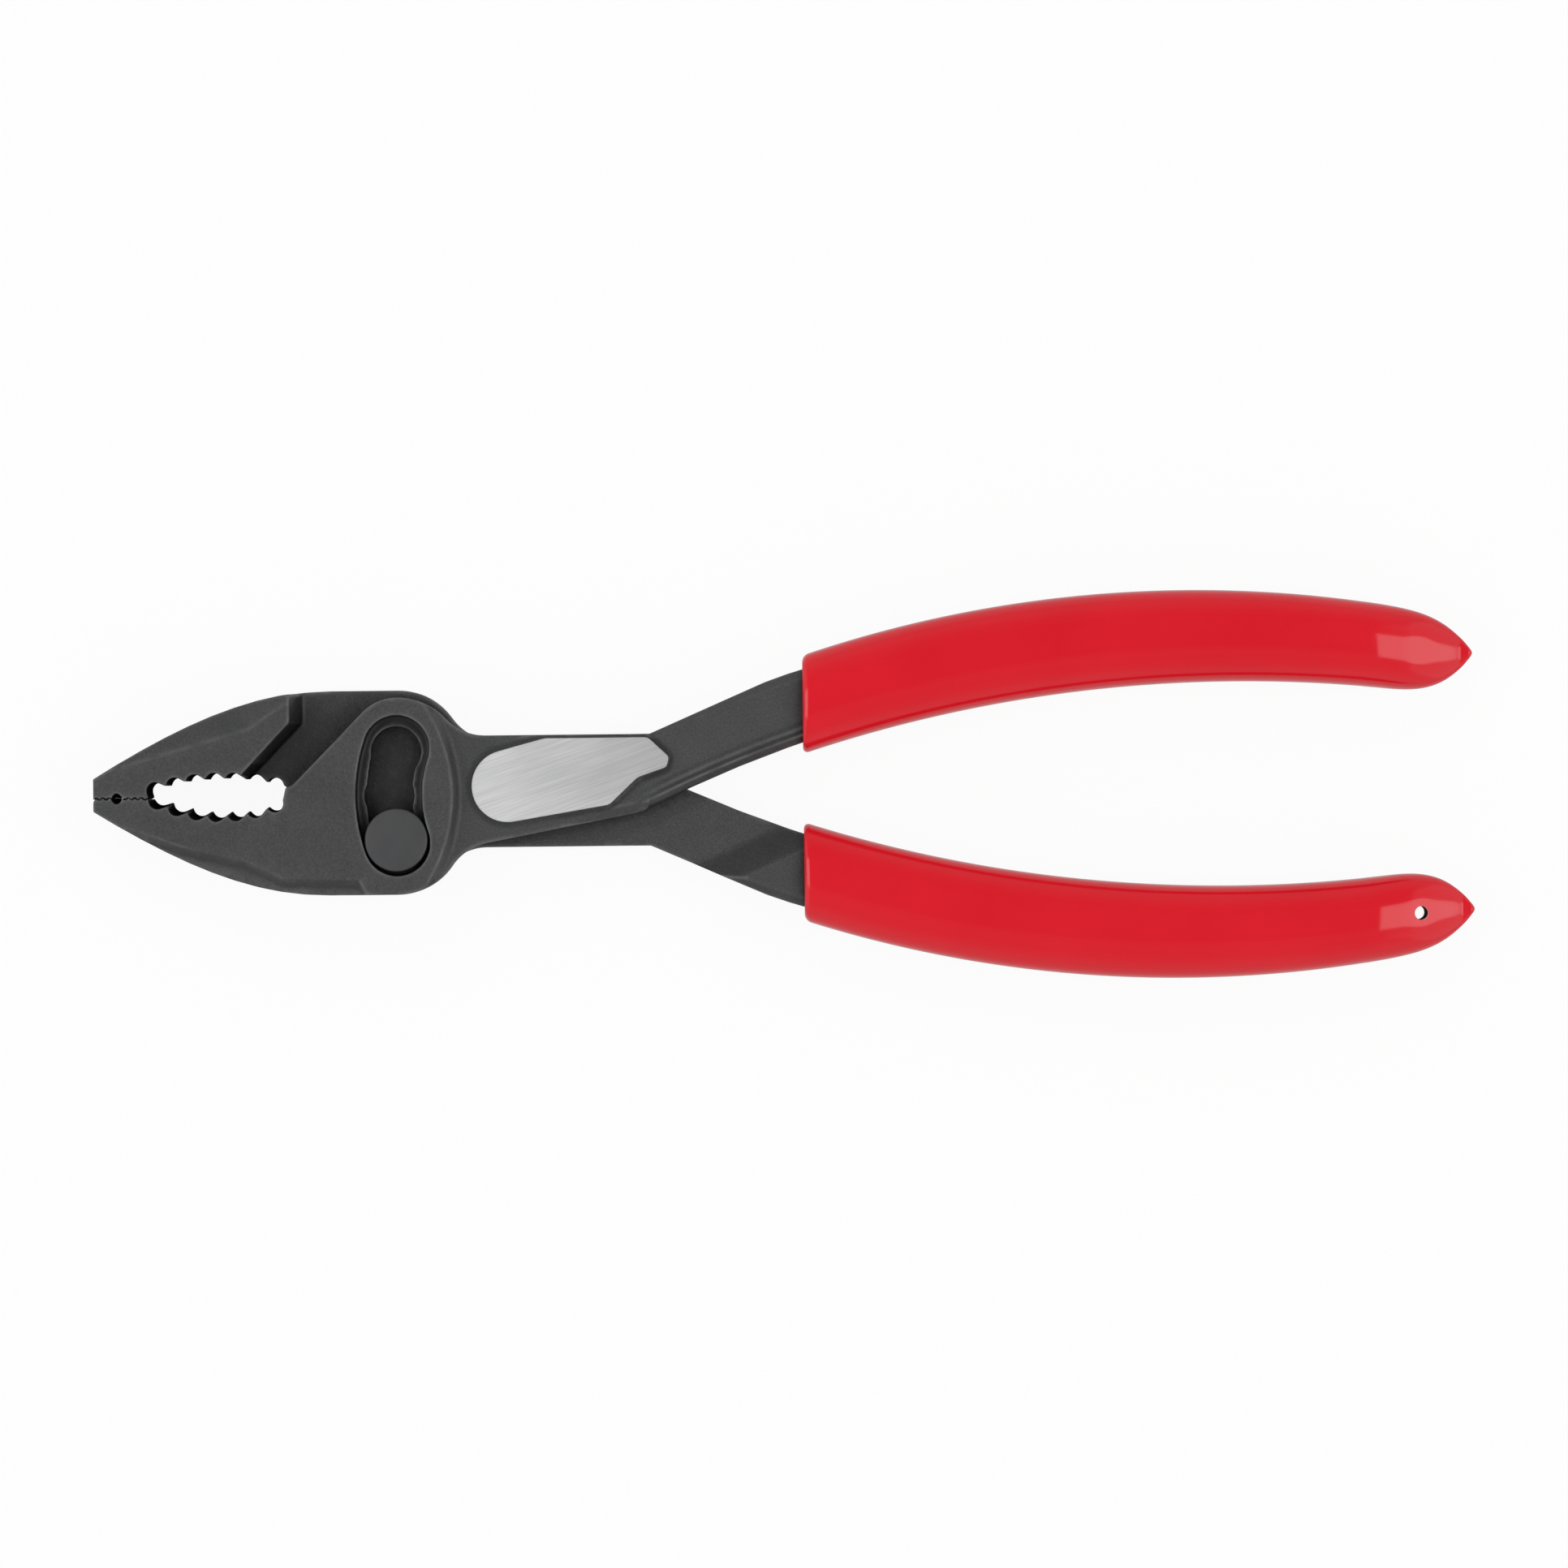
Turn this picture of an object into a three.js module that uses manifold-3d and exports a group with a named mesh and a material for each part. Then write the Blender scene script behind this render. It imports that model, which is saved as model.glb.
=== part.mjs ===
// Slip-joint pliers with dipped grips, lying on their back.
// x runs from the jaw tips to the grips, y up across the tool, z from its back to its front.
// Both halves come from one forged blank: the rear half is the blank turned over about the tool's axis.
import * as THREE from 'three';
import { mergeVertices } from 'three/addons/utils/BufferGeometryUtils.js';
import Module from 'manifold-3d';

const wasm = await Module();
wasm.setup();

// Driving dimensions in millimetres, angles in degrees. Places along x are from the jaw tips.

// Whole tool
const LENGTH = 203.2;
const THICKNESS = 11;
const LAP_GAP = 0.3;

// Jaws
const TIP_HALF = 2.42;
const JAW_RUN = 34.5;
const JAW_TIP_ANGLE = 31.8;
const JAW_TIP_PULL = 14;
const JAW_BACK_PULL = 12;
const MATING_Y = -0.5;
const MATING_GAP = 0.16;
const SERRATION_PITCH = 0.94;
const SERRATION_DEPTH = 0.5;
const WIRE_HOLE_X = 3.4;
const WIRE_HOLE_R = 0.75;

// Pipe grip: the scalloped opening behind the fine serrations
const GRIP_START = 8;
const GRIP_END = 27.9;
const GRIP_END_LEAN = 12;
const GRIP_MID = 18.8;
const UPPER_RISE = 2.7;
const UPPER_ARC_R = 36;
const LOWER_DROP = 2.55;
const LOWER_ARC_R = 24;
const LOWER_LEAN = 0.6;
const SCALLOP_PITCH = 2.88;
const SCALLOP_R = 1.25;
const SCALLOP_RAMP = 40;
const SCALLOP_UPPER_DEPTH = 1;
const SCALLOP_LOWER_DEPTH = 1;
const SCALLOP_UPPER_LEAD = 1.05;
const SCALLOP_LOWER_LEAD = 1.35;

// Jaw bevels, as the creases where they leave the jaw's face
const BEVEL_ANGLE = 30;
const FACE_BEVEL_TIP = [3.1, -4.3];
const FACE_BEVEL_HEEL = [25.9, -12];
const HEAD_CHAMFER = 2.5;
const HEAD_CHAMFER_END = 37;
const HEAD_CHAMFER_RUNOUT = 35;
const STEP_BEVEL_TIP = [4.2, -4.2];
const STEP_BEVEL_MID = [22.8, -9.5];
const STEP_BEVEL_HEEL = [28.2, -13.2];

// Step where the jaw drops to the lap face
const STEP_NEAR = [22.1, -3.3];
const STEP_FAR = [28.8, -10.4];
const STEP_DRAFT = 1.7;

// Joint
const PIVOT_X = 44.4;
const PIVOT_DROP = 7;
const SLOT_RADIUS = 21;
const SLIP_TRAVEL = 13.05;
const SLOT_WAIST = 3.3;
const SLOT_LOBE_R = 3.65;
const HEAD_R = 4.62;
const HEAD_CLEARANCE = 0.23;
const HEAD_HEIGHT = 1.75;
const HEAD_EDGE = 0.22;
const HEAD_SUNK = 0.15;
const RECESS_OVERRUN = 0.45;
const WASHER_THICKNESS = 0.5;
const WASHER_MARGIN = 0.2;
const STACK_GAP = 0.1;
const NECK_PIN_R = 2.95;
const BORE_CLEARANCE = 0.12;
const THREAD_R = 2.45;
const THREAD_CLEARANCE = 0.15;
const NUT_FLATS = 8;
const NUT_HEIGHT = 2.3;
const NUT_CLEARANCE = 0.3;

// Boss, neck and head outline
const HEAD_HALF = 15.05;
const BOSS_INSET = 1.1;
const BOSS_LEAD = 0.2;
const BOSS_CORNER_R = 9.55;
const BOSS_SHOULDER_R = 7;
const BOSS_SLANT = 45.5;
const BOSS_FACE_REACH = 8.1;
const BOSS_FACE_R = 24;
const BOSS_STEP = 1.7;
const BOSS_STEP_RUN = 1.1;
const NECK_HALF = 8.25;
const NECK_FILLET = 8;
const NECK_END = 80.3;
const NECK_TAPER = 10.8;

// Ground flat on the front half's neck, placed from the neck's end
const PAD_RISE = 0.4;
const PAD_MARGIN = 0.45;
const PAD_ROUND_R = 5.37;
const PAD_ROUND = [-19.5, 0.77];
const PAD_LOWER = [-4.55, -2.19];
const PAD_NOTCH = [-0.35, 1.79];
const PAD_NOSE_LOWER = [3.95, 3.26];
const PAD_NOSE_UPPER = [4.35, 4.82];
const PAD_TOP_END = 1.2;
const PAD_TOP_START = -14;

// Handle bars, bowed along one arc
const BOW_RADIUS = 191.7;
const BOW_APEX_X = 163.9;
const BOW_APEX_Y = 21.8;
const BAR_WIDTH = 10.3;
const BAR_OFFSET = 0.15;
const BAR_END_WIDTH = 7.6;
const BAR_THICKNESS = 7;
const BAR_CHAMFER = 1.3;
const BAR_END_INSET = 5;
const BAR_END_TAPER = 1.4;
const BAR_END_BEVEL = 0.7;
const RAMP_START = [89.7, 10.3];
const RAMP_ANGLE = -24.1;
const RAMP_RUN = 4.8;

// Dipped grips
const GRIP_MOUTH_X = 104.3;
const GRIP_WIDTH = 14.2;
const GRIP_WIDEST_X = 130;
const GRIP_TAPER_LENGTH = 162.5;
const GRIP_LIP = 0.7;
const GRIP_LIP_INSET = 0.35;
const GRIP_FIT = 0.3;
const GRIP_SQUARENESS = 2.6;
const NOSE_LENGTH = 8.5;
const NOSE_POINT = 0.6;
const DRIP_LENGTH = 6;
const DRIP_TIP_R = 0.18;
const TETHER_INSET = 8.2;
const TETHER_R = 1.2;
const TETHER_COAT = 0.7;

// Mesh fineness
const CURVE_STEPS = 10;
const ROUND_STEPS = 40;
const SCALLOP_STEPS = 18;
const GRIP_RING_POINTS = 24;
const GRIP_STATIONS = 18;
const NOSE_STATIONS = 7;
const BAR_STATIONS = 16;

// Lengths that only need to pass clear through or overlap
const PAST = 1;
const FAR = 400;

// Points closer than this are one point
const WELD = 1e-5;

// Derived places
const MID_Z = THICKNESS / 2;
const LAP_FRONT_Z = MID_Z + LAP_GAP / 2;
const NECK_TOP_Z = THICKNESS - BOSS_STEP;
const BAR_LOW_Z = MID_Z - BAR_THICKNESS / 2;
const BAR_HIGH_Z = MID_Z + BAR_THICKNESS / 2;
const HEAD_TOP_Z = THICKNESS - HEAD_SUNK;
const HEAD_UNDER_Z = HEAD_TOP_Z - HEAD_HEIGHT;
const LEDGE_Z = HEAD_UNDER_Z - WASHER_THICKNESS - 2 * STACK_GAP;
const NUT_SEAT_Z = NUT_HEIGHT + STACK_GAP;
const BOSS_X = PIVOT_X + BOSS_LEAD;
const BOSS_HALF = HEAD_HALF - BOSS_INSET;
const JAW_INNER_Y = Math.abs(MATING_Y) + SERRATION_DEPTH;
const SLOT_HALF_ANGLE = Math.asin(SLIP_TRAVEL / 2 / SLOT_RADIUS);
const SLOT_CENTRE = new THREE.Vector2(
  PIVOT_X + SLOT_RADIUS * Math.cos(SLOT_HALF_ANGLE),
  SLIP_TRAVEL / 2 - PIVOT_DROP,
);
const BAR_END_X = LENGTH - BAR_END_INSET;
const TETHER_X = LENGTH - TETHER_INSET;

const blackSteel = new THREE.MeshStandardMaterial({ color: 0x4d4e50, roughness: 0.55, metalness: 0.8 });
const boltSteel = new THREE.MeshStandardMaterial({ color: 0x505153, roughness: 0.45, metalness: 0.8 });
const redGrip = new THREE.MeshStandardMaterial({ color: 0xd6212d, roughness: 0.3, metalness: 0 });

function radians(degrees) {
  return THREE.MathUtils.degToRad(degrees);
}

// Solids and meshes

function solid(geometry) {
  const bare = geometry.clone();
  bare.deleteAttribute('normal');
  bare.deleteAttribute('uv');
  const merged = mergeVertices(bare, WELD);
  return new wasm.Manifold(new wasm.Mesh({
    numProp: 3,
    vertProperties: new Float32Array(merged.attributes.position.array),
    triVerts: new Uint32Array(merged.index.array),
  }));
}

function geometryOf(body) {
  const mesh = body.getMesh();
  const geometry = new THREE.BufferGeometry();
  geometry.setAttribute('position', new THREE.BufferAttribute(mesh.vertProperties, 3));
  geometry.setIndex(new THREE.BufferAttribute(mesh.triVerts, 1));
  return geometry;
}

function extruded(shape, low, high) {
  const geometry = new THREE.ExtrudeGeometry(shape, {
    depth: high - low,
    bevelEnabled: false,
    curveSegments: CURVE_STEPS,
  });
  return geometry.translate(0, 0, low);
}

function cylinder(x, y, radius, low, high, steps = ROUND_STEPS) {
  const geometry = new THREE.CylinderGeometry(radius, radius, high - low, steps);
  geometry.rotateX(Math.PI / 2);
  return solid(geometry.translate(x, y, (low + high) / 2));
}

function polygon(points) {
  return new THREE.Shape(points.map(([x, y]) => new THREE.Vector2(x, y)));
}

// Closed skin over rings of (x, y, z) points, each ring anticlockwise about +x.
function loft(rings) {
  const size = rings[0].length;
  const index = [];
  for (let i = 0; i + 1 < rings.length; i += 1) {
    for (let j = 0; j < size; j += 1) {
      const a = i * size + j;
      const b = i * size + ((j + 1) % size);
      index.push(a, b, a + size, b, b + size, a + size);
    }
  }
  const last = (rings.length - 1) * size;
  for (let j = 1; j + 1 < size; j += 1) {
    index.push(0, j + 1, j);
    index.push(last, last + j, last + j + 1);
  }
  const geometry = new THREE.BufferGeometry();
  geometry.setAttribute('position', new THREE.Float32BufferAttribute(rings.flat(2), 3));
  geometry.setIndex(index);
  return geometry;
}

// Turned half a turn about the tool's axis, front to back.
function turnedOver(body) {
  const turn = new THREE.Matrix4().makeRotationX(Math.PI).setPosition(0, 0, THICKNESS);
  return solid(geometryOf(body).applyMatrix4(turn));
}

// Handle arc

function bowY(x) {
  const dx = x - BOW_APEX_X;
  return BOW_APEX_Y - BOW_RADIUS + Math.sqrt(BOW_RADIUS * BOW_RADIUS - dx * dx);
}

function bowStretch(x) {
  const dx = (x - BOW_APEX_X) / BOW_RADIUS;
  return 1 / Math.sqrt(1 - dx * dx);
}

function barHalfWidth(x) {
  const share = Math.max(0, (x - GRIP_MOUTH_X) / (BAR_END_X - GRIP_MOUTH_X));
  return (BAR_WIDTH + (BAR_END_WIDTH - BAR_WIDTH) * Math.min(1, share)) / 2;
}

// The bar lies a little nearer the tool's axis than the grip dipped on it.
function barY(x) {
  return bowY(x) - BAR_OFFSET;
}

function barEdgeY(x, side) {
  return barY(x) + side * barHalfWidth(x) * bowStretch(x);
}

// Bar section at x, a chamfered rectangle, grown by the clearance and shrunk at the bar's end.
function barRing(x, grow, inset) {
  const centre = barY(x);
  const h = (barHalfWidth(x) + grow - inset) * bowStretch(x);
  const b = BAR_THICKNESS / 2 + grow - inset;
  const c = BAR_CHAMFER;
  const outline = [
    [h, c - b], [h, b - c], [h - c, b], [c - h, b],
    [-h, b - c], [-h, c - b], [c - h, -b], [h - c, -b],
  ];
  return outline.map(([y, z]) => [x, centre + y, MID_Z + z]);
}

function bar(start, grow) {
  const rings = [];
  const shoulder = BAR_END_X - BAR_END_TAPER;
  for (let i = 0; i <= BAR_STATIONS; i += 1) {
    rings.push(barRing(start + (shoulder - start) * i / BAR_STATIONS, grow, 0));
  }
  rings.push(barRing(BAR_END_X + grow, grow, BAR_END_BEVEL));
  return solid(loft(rings));
}

// Forged blank, with its jaw below the axis and its handle above

// Fillet circle outside both a round corner and a straight edge.
function filletCentre(corner, cornerR, edgePoint, along, outward) {
  const start = edgePoint.clone().addScaledVector(outward, NECK_FILLET).sub(corner);
  const reach = cornerR + NECK_FILLET;
  const lean = start.dot(along);
  const run = -lean + Math.sqrt(lean * lean - start.lengthSq() + reach * reach);
  return start.addScaledVector(along, run).add(corner);
}

function headOutline() {
  const taper = radians(NECK_TAPER);
  const slant = radians(90 + BOSS_SLANT);
  const low = new THREE.Vector2(BOSS_X, BOSS_CORNER_R - HEAD_HALF);
  const high = new THREE.Vector2(BOSS_X, BOSS_HALF - BOSS_CORNER_R);
  const lowEdge = new THREE.Vector2(NECK_END, barEdgeY(NECK_END, -1));
  const lowAlong = new THREE.Vector2(Math.cos(taper), Math.sin(taper));
  const lowOut = new THREE.Vector2(Math.sin(taper), -Math.cos(taper));
  const lowFillet = filletCentre(low, BOSS_CORNER_R, lowEdge, lowAlong, lowOut);
  const highEdge = new THREE.Vector2(NECK_END, NECK_HALF);
  const highAlong = new THREE.Vector2(1, 0);
  const highFillet = filletCentre(high, BOSS_CORNER_R, highEdge, highAlong, new THREE.Vector2(0, 1));
  const lowTurn = lowFillet.clone().sub(low).angle();
  const highTurn = highFillet.clone().sub(high).angle();
  const shoulderY = BOSS_HALF - BOSS_SHOULDER_R;
  const slantX = BOSS_X + BOSS_SHOULDER_R * Math.cos(slant);
  const slantY = shoulderY + BOSS_SHOULDER_R * Math.sin(slant);
  const tipAngle = radians(JAW_TIP_ANGLE);
  const join = NECK_END + PAST;
  const shape = new THREE.Shape();
  shape.moveTo(0, JAW_INNER_Y);
  shape.lineTo(0, -TIP_HALF);
  shape.bezierCurveTo(
    JAW_TIP_PULL * Math.cos(tipAngle), -TIP_HALF - JAW_TIP_PULL * Math.sin(tipAngle),
    JAW_RUN - JAW_BACK_PULL, -HEAD_HALF,
    JAW_RUN, -HEAD_HALF,
  );
  shape.absarc(low.x, low.y, BOSS_CORNER_R, -Math.PI / 2, lowTurn - 2 * Math.PI, false);
  shape.absarc(lowFillet.x, lowFillet.y, NECK_FILLET, lowTurn - Math.PI, Math.PI / 2 + taper, true);
  shape.lineTo(lowEdge.x, lowEdge.y);
  shape.lineTo(join, barEdgeY(join, -1));
  shape.lineTo(join, barEdgeY(join, 1));
  shape.lineTo(highEdge.x, highEdge.y);
  shape.absarc(highFillet.x, highFillet.y, NECK_FILLET, -Math.PI / 2, highTurn - Math.PI, true);
  shape.absarc(high.x, high.y, BOSS_CORNER_R, highTurn, Math.PI / 2, false);
  shape.absarc(BOSS_X, shoulderY, BOSS_SHOULDER_R, Math.PI / 2, slant, false);
  shape.lineTo(slantX - (slantY - JAW_INNER_Y) / Math.tan(radians(BOSS_SLANT)), JAW_INNER_Y);
  return shape;
}

// Half space above a plane that falls away on the left of the line between two points of the front face.
function bevelCut(start, end) {
  const along = new THREE.Vector3(end[0] - start[0], end[1] - start[1], 0).normalize();
  const outward = new THREE.Vector3(-along.y, along.x, 0);
  const fall = outward.clone().multiplyScalar(Math.cos(radians(BEVEL_ANGLE)));
  fall.z = -Math.sin(radians(BEVEL_ANGLE));
  const up = along.clone().cross(fall);
  const place = new THREE.Matrix4().makeBasis(along, fall, up).setPosition(start[0], start[1], THICKNESS);
  return solid(new THREE.BoxGeometry(FAR, FAR, FAR).translate(0, 0, FAR / 2).applyMatrix4(place));
}

function mirroredY([x, y]) {
  return [x, -y];
}

function bevelled(body) {
  const chamferY = HEAD_CHAMFER - HEAD_HALF;
  const chamferStart = [HEAD_CHAMFER_END, chamferY];
  const runout = radians(HEAD_CHAMFER_RUNOUT);
  const runoutEnd = [HEAD_CHAMFER_END + Math.cos(runout), chamferY - Math.sin(runout)];
  const chamfer = bevelCut(chamferStart, [0, chamferY]).intersect(bevelCut(runoutEnd, chamferStart));
  const stepTip = mirroredY(STEP_BEVEL_TIP);
  const stepMid = mirroredY(STEP_BEVEL_MID);
  const stepHeel = mirroredY(STEP_BEVEL_HEEL);
  const stepBevel = bevelCut(stepTip, stepMid).intersect(bevelCut(stepMid, stepHeel));
  return body
    .subtract(bevelCut(FACE_BEVEL_HEEL, FACE_BEVEL_TIP))
    .subtract(chamfer)
    .subtract(turnedOver(stepBevel));
}

// Room behind the lap face, from the jaw's drafted step to the ramp up to the bar.
function lapPocket() {
  const [nearX, nearY] = STEP_NEAR;
  const [farX, farY] = STEP_FAR;
  const slope = (farX - nearX) / (farY - nearY);
  const plan = polygon([
    [farX, farY], [farX, -FAR], [FAR, -FAR], [FAR, FAR], [farX + slope * (FAR - farY), FAR],
  ]);
  const shear = new THREE.Matrix4().makeShear(0, 0, 0, 0, STEP_DRAFT / LAP_FRONT_Z, 0);
  const behindStep = extruded(plan, 0, LAP_FRONT_Z + PAST).translate(0, 0, -PAST).applyMatrix4(shear);
  const section = polygon([
    [-FAR, -PAST], [RAMP_RUN, -PAST], [RAMP_RUN, BAR_LOW_Z], [0, LAP_FRONT_Z], [-FAR, LAP_FRONT_Z],
  ]);
  const angle = radians(RAMP_ANGLE);
  const across = new THREE.Vector3(-Math.sin(angle), Math.cos(angle), 0);
  const up = new THREE.Vector3(0, 0, 1);
  const place = new THREE.Matrix4()
    .makeBasis(across, up, across.clone().cross(up))
    .setPosition(RAMP_START[0], RAMP_START[1], 0);
  const beforeRamp = extruded(section, -FAR, FAR).applyMatrix4(place);
  return solid(behindStep).intersect(solid(beforeRamp));
}

// Room in front of the neck, past the boss's raised round face.
function neckRelief() {
  const depth = BOSS_STEP + PAST;
  const coneDepth = depth + PAST;
  const centreX = BOSS_X + BOSS_FACE_REACH - BOSS_FACE_R;
  const slope = BOSS_STEP_RUN / BOSS_STEP;
  const lowR = BOSS_FACE_R + BOSS_STEP_RUN;
  const cone = new THREE.CylinderGeometry(lowR - slope * coneDepth, lowR, coneDepth, 2 * ROUND_STEPS);
  cone.rotateX(Math.PI / 2).translate(centreX, SLOT_CENTRE.y, NECK_TOP_Z + coneDepth / 2);
  const room = new THREE.BoxGeometry(FAR, FAR, depth);
  room.translate(BOSS_X + FAR / 2, 0, NECK_TOP_Z + depth / 2);
  return solid(room).subtract(solid(cone));
}

function blank() {
  const head = solid(extruded(headOutline(), 0, THICKNESS)).subtract(neckRelief());
  return bevelled(head.add(bar(NECK_END, 0)).subtract(lapPocket()));
}

// Jaw teeth

// Fine serrations from the tip to the pipe grip, as points on the mating line.
function serrations(lift) {
  const points = [[-PAST, MATING_Y + lift]];
  const half = SERRATION_PITCH / 2;
  for (let i = 0; (i + 1) * half < GRIP_START; i += 1) {
    const side = i % 2 === 0 ? -1 : 1;
    points.push([i * half, MATING_Y + lift + side * SERRATION_DEPTH / 2]);
  }
  points.push([GRIP_START, MATING_Y + lift]);
  return points;
}

function gripEndX(y) {
  return GRIP_END + (y - MATING_Y) * Math.tan(radians(GRIP_END_LEAN));
}

// Room beyond one jaw's mating line: side 1 clears above the lower jaw, side -1 below the upper jaw.
function matingRoom(side) {
  const lift = -side * MATING_GAP / 2;
  const reach = side * (JAW_INNER_Y + PAST);
  const points = serrations(lift);
  const end = gripEndX(MATING_Y);
  points.push([end, MATING_Y + lift], [gripEndX(reach), reach], [-PAST, reach]);
  return solid(extruded(polygon(points), -PAST, THICKNESS + PAST));
}

// Half of the pipe grip on one side of the mating line, leaning towards the back. Each scallop is round
// towards the tip and leaves by a straight ramp, so that the teeth between them hook towards the heel.
function gripRoom({ side, rise, radius, depth, lead, lean }) {
  const centreY = MATING_Y + side * (rise - radius);
  const spread = Math.acos((radius - rise - MATING_GAP) / radius);
  const middle = side * Math.PI / 2;
  const bow = new THREE.Shape();
  bow.absarc(GRIP_MID, centreY, radius, middle + spread, middle - spread, true);
  const nearY = MATING_Y - side * PAST;
  const farY = MATING_Y + side * (rise + PAST);
  const stretch = polygon([
    [GRIP_START, nearY], [gripEndX(nearY), nearY], [gripEndX(farY), farY], [GRIP_START, farY],
  ]);
  const low = -PAST;
  const high = THICKNESS + PAST;
  let room = solid(extruded(bow, low, high)).intersect(solid(extruded(stretch, low, high)));
  for (let x = GRIP_START + lead; x < GRIP_END; x += SCALLOP_PITCH) {
    const dx = x - GRIP_MID;
    const rootY = centreY + side * (Math.sqrt(radius * radius - dx * dx) + depth);
    const scallopY = rootY - side * SCALLOP_R;
    room = room.add(cylinder(x, scallopY, SCALLOP_R, low, high, SCALLOP_STEPS));
    if (x + SCALLOP_PITCH < GRIP_END) {
      const ramp = radians(SCALLOP_RAMP) + Math.asin(dx / radius);
      const leaveX = x + SCALLOP_R * Math.sin(ramp);
      const leaveY = scallopY + side * SCALLOP_R * Math.cos(ramp);
      const endX = leaveX + depth / Math.tan(ramp);
      const wedge = polygon([[x, scallopY], [leaveX, leaveY], [endX, leaveY - side * depth]]);
      room = room.add(solid(extruded(wedge, low, high)));
    }
  }
  const shear = new THREE.Matrix4().makeShear(0, 0, 0, 0, 0, -lean / THICKNESS).setPosition(0, lean, 0);
  return solid(geometryOf(room).applyMatrix4(shear));
}

function wireHole() {
  return cylinder(WIRE_HOLE_X, MATING_Y, WIRE_HOLE_R, -PAST, THICKNESS + PAST, SCALLOP_STEPS);
}

// Joint slot and ground flat of the front half

// Kidney along the slot's arc, as wide as the given half width.
function kidney(halfWidth, overrun) {
  const spread = SLOT_HALF_ANGLE + overrun / SLOT_RADIUS;
  const start = Math.PI - spread;
  const end = Math.PI + spread;
  const { x, y } = SLOT_CENTRE;
  const shape = new THREE.Shape();
  shape.absarc(x, y, SLOT_RADIUS + halfWidth, start, end, false);
  shape.absarc(x + SLOT_RADIUS * Math.cos(end), y + SLOT_RADIUS * Math.sin(end), halfWidth, end, end + Math.PI);
  shape.absarc(x, y, SLOT_RADIUS - halfWidth, end, start, true);
  shape.absarc(
    x + SLOT_RADIUS * Math.cos(start), y + SLOT_RADIUS * Math.sin(start), halfWidth,
    start - Math.PI, start,
  );
  return shape;
}

function slotRoom() {
  const recess = kidney(HEAD_R + HEAD_CLEARANCE, RECESS_OVERRUN);
  let room = solid(extruded(recess, LEDGE_Z, THICKNESS + PAST));
  room = room.add(solid(extruded(kidney(SLOT_WAIST, 0), 0, LEDGE_Z + PAST)));
  for (const share of [-1, 0, 1]) {
    const angle = Math.PI + share * SLOT_HALF_ANGLE;
    const x = SLOT_CENTRE.x + SLOT_RADIUS * Math.cos(angle);
    const y = SLOT_CENTRE.y + SLOT_RADIUS * Math.sin(angle);
    room = room.add(cylinder(x, y, SLOT_LOBE_R, 0, LEDGE_Z + PAST));
  }
  return room;
}

function groundFlat() {
  const topY = NECK_HALF - PAD_MARGIN;
  const centre = new THREE.Vector2(NECK_END + PAD_ROUND[0], PAD_ROUND[1]);
  const lower = new THREE.Vector2(NECK_END + PAD_LOWER[0], PAD_LOWER[1]);
  const topStart = new THREE.Vector2(NECK_END + PAD_TOP_START, topY);
  const tangentFrom = (point, side) => {
    const away = point.clone().sub(centre);
    return away.angle() + side * Math.acos(PAD_ROUND_R / away.length());
  };
  const shape = new THREE.Shape();
  shape.moveTo(lower.x, lower.y);
  for (const [x, y] of [PAD_NOTCH, PAD_NOSE_LOWER, PAD_NOSE_UPPER]) {
    shape.lineTo(NECK_END + x, y);
  }
  shape.lineTo(NECK_END + PAD_TOP_END, topY);
  shape.lineTo(topStart.x, topStart.y);
  shape.absarc(
    centre.x, centre.y, PAD_ROUND_R,
    tangentFrom(topStart, 1), tangentFrom(lower, -1), false,
  );
  return solid(extruded(shape, BAR_HIGH_Z - PAST, NECK_TOP_Z + PAD_RISE));
}

// Pieces

function frontHalf() {
  return blank()
    .add(groundFlat())
    .subtract(matingRoom(1))
    .subtract(gripRoom({
      side: -1,
      rise: LOWER_DROP,
      radius: LOWER_ARC_R,
      depth: SCALLOP_LOWER_DEPTH,
      lead: SCALLOP_LOWER_LEAD,
      lean: LOWER_LEAN,
    }))
    .subtract(wireHole())
    .subtract(slotRoom());
}

function tetherHole(radius) {
  return cylinder(TETHER_X, -bowY(TETHER_X), radius, -PAST, THICKNESS + PAST, SCALLOP_STEPS);
}

function rearHalf() {
  const seatR = NUT_FLATS / 2 / Math.cos(Math.PI / 6) + NUT_CLEARANCE;
  return turnedOver(blank())
    .subtract(matingRoom(-1))
    .subtract(gripRoom({
      side: 1,
      rise: UPPER_RISE,
      radius: UPPER_ARC_R,
      depth: SCALLOP_UPPER_DEPTH,
      lead: SCALLOP_UPPER_LEAD,
      lean: 0,
    }))
    .subtract(wireHole())
    .subtract(cylinder(PIVOT_X, -PIVOT_DROP, NECK_PIN_R + BORE_CLEARANCE, -PAST, THICKNESS))
    .subtract(cylinder(PIVOT_X, -PIVOT_DROP, seatR, -PAST, NUT_SEAT_Z))
    .subtract(tetherHole(TETHER_R + TETHER_COAT));
}

function lathed(profile) {
  const geometry = new THREE.LatheGeometry(profile.map(([r, z]) => new THREE.Vector2(r, z)), ROUND_STEPS);
  return geometry.rotateX(Math.PI / 2);
}

function pivotBolt() {
  return geometryOf(solid(lathed([
    [0, 0], [THREAD_R, 0], [THREAD_R, NUT_SEAT_Z], [NECK_PIN_R, NUT_SEAT_Z], [NECK_PIN_R, HEAD_UNDER_Z],
    [HEAD_R, HEAD_UNDER_Z], [HEAD_R, HEAD_TOP_Z - HEAD_EDGE], [HEAD_R - HEAD_EDGE, HEAD_TOP_Z],
    [0, HEAD_TOP_Z],
  ])));
}

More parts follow.
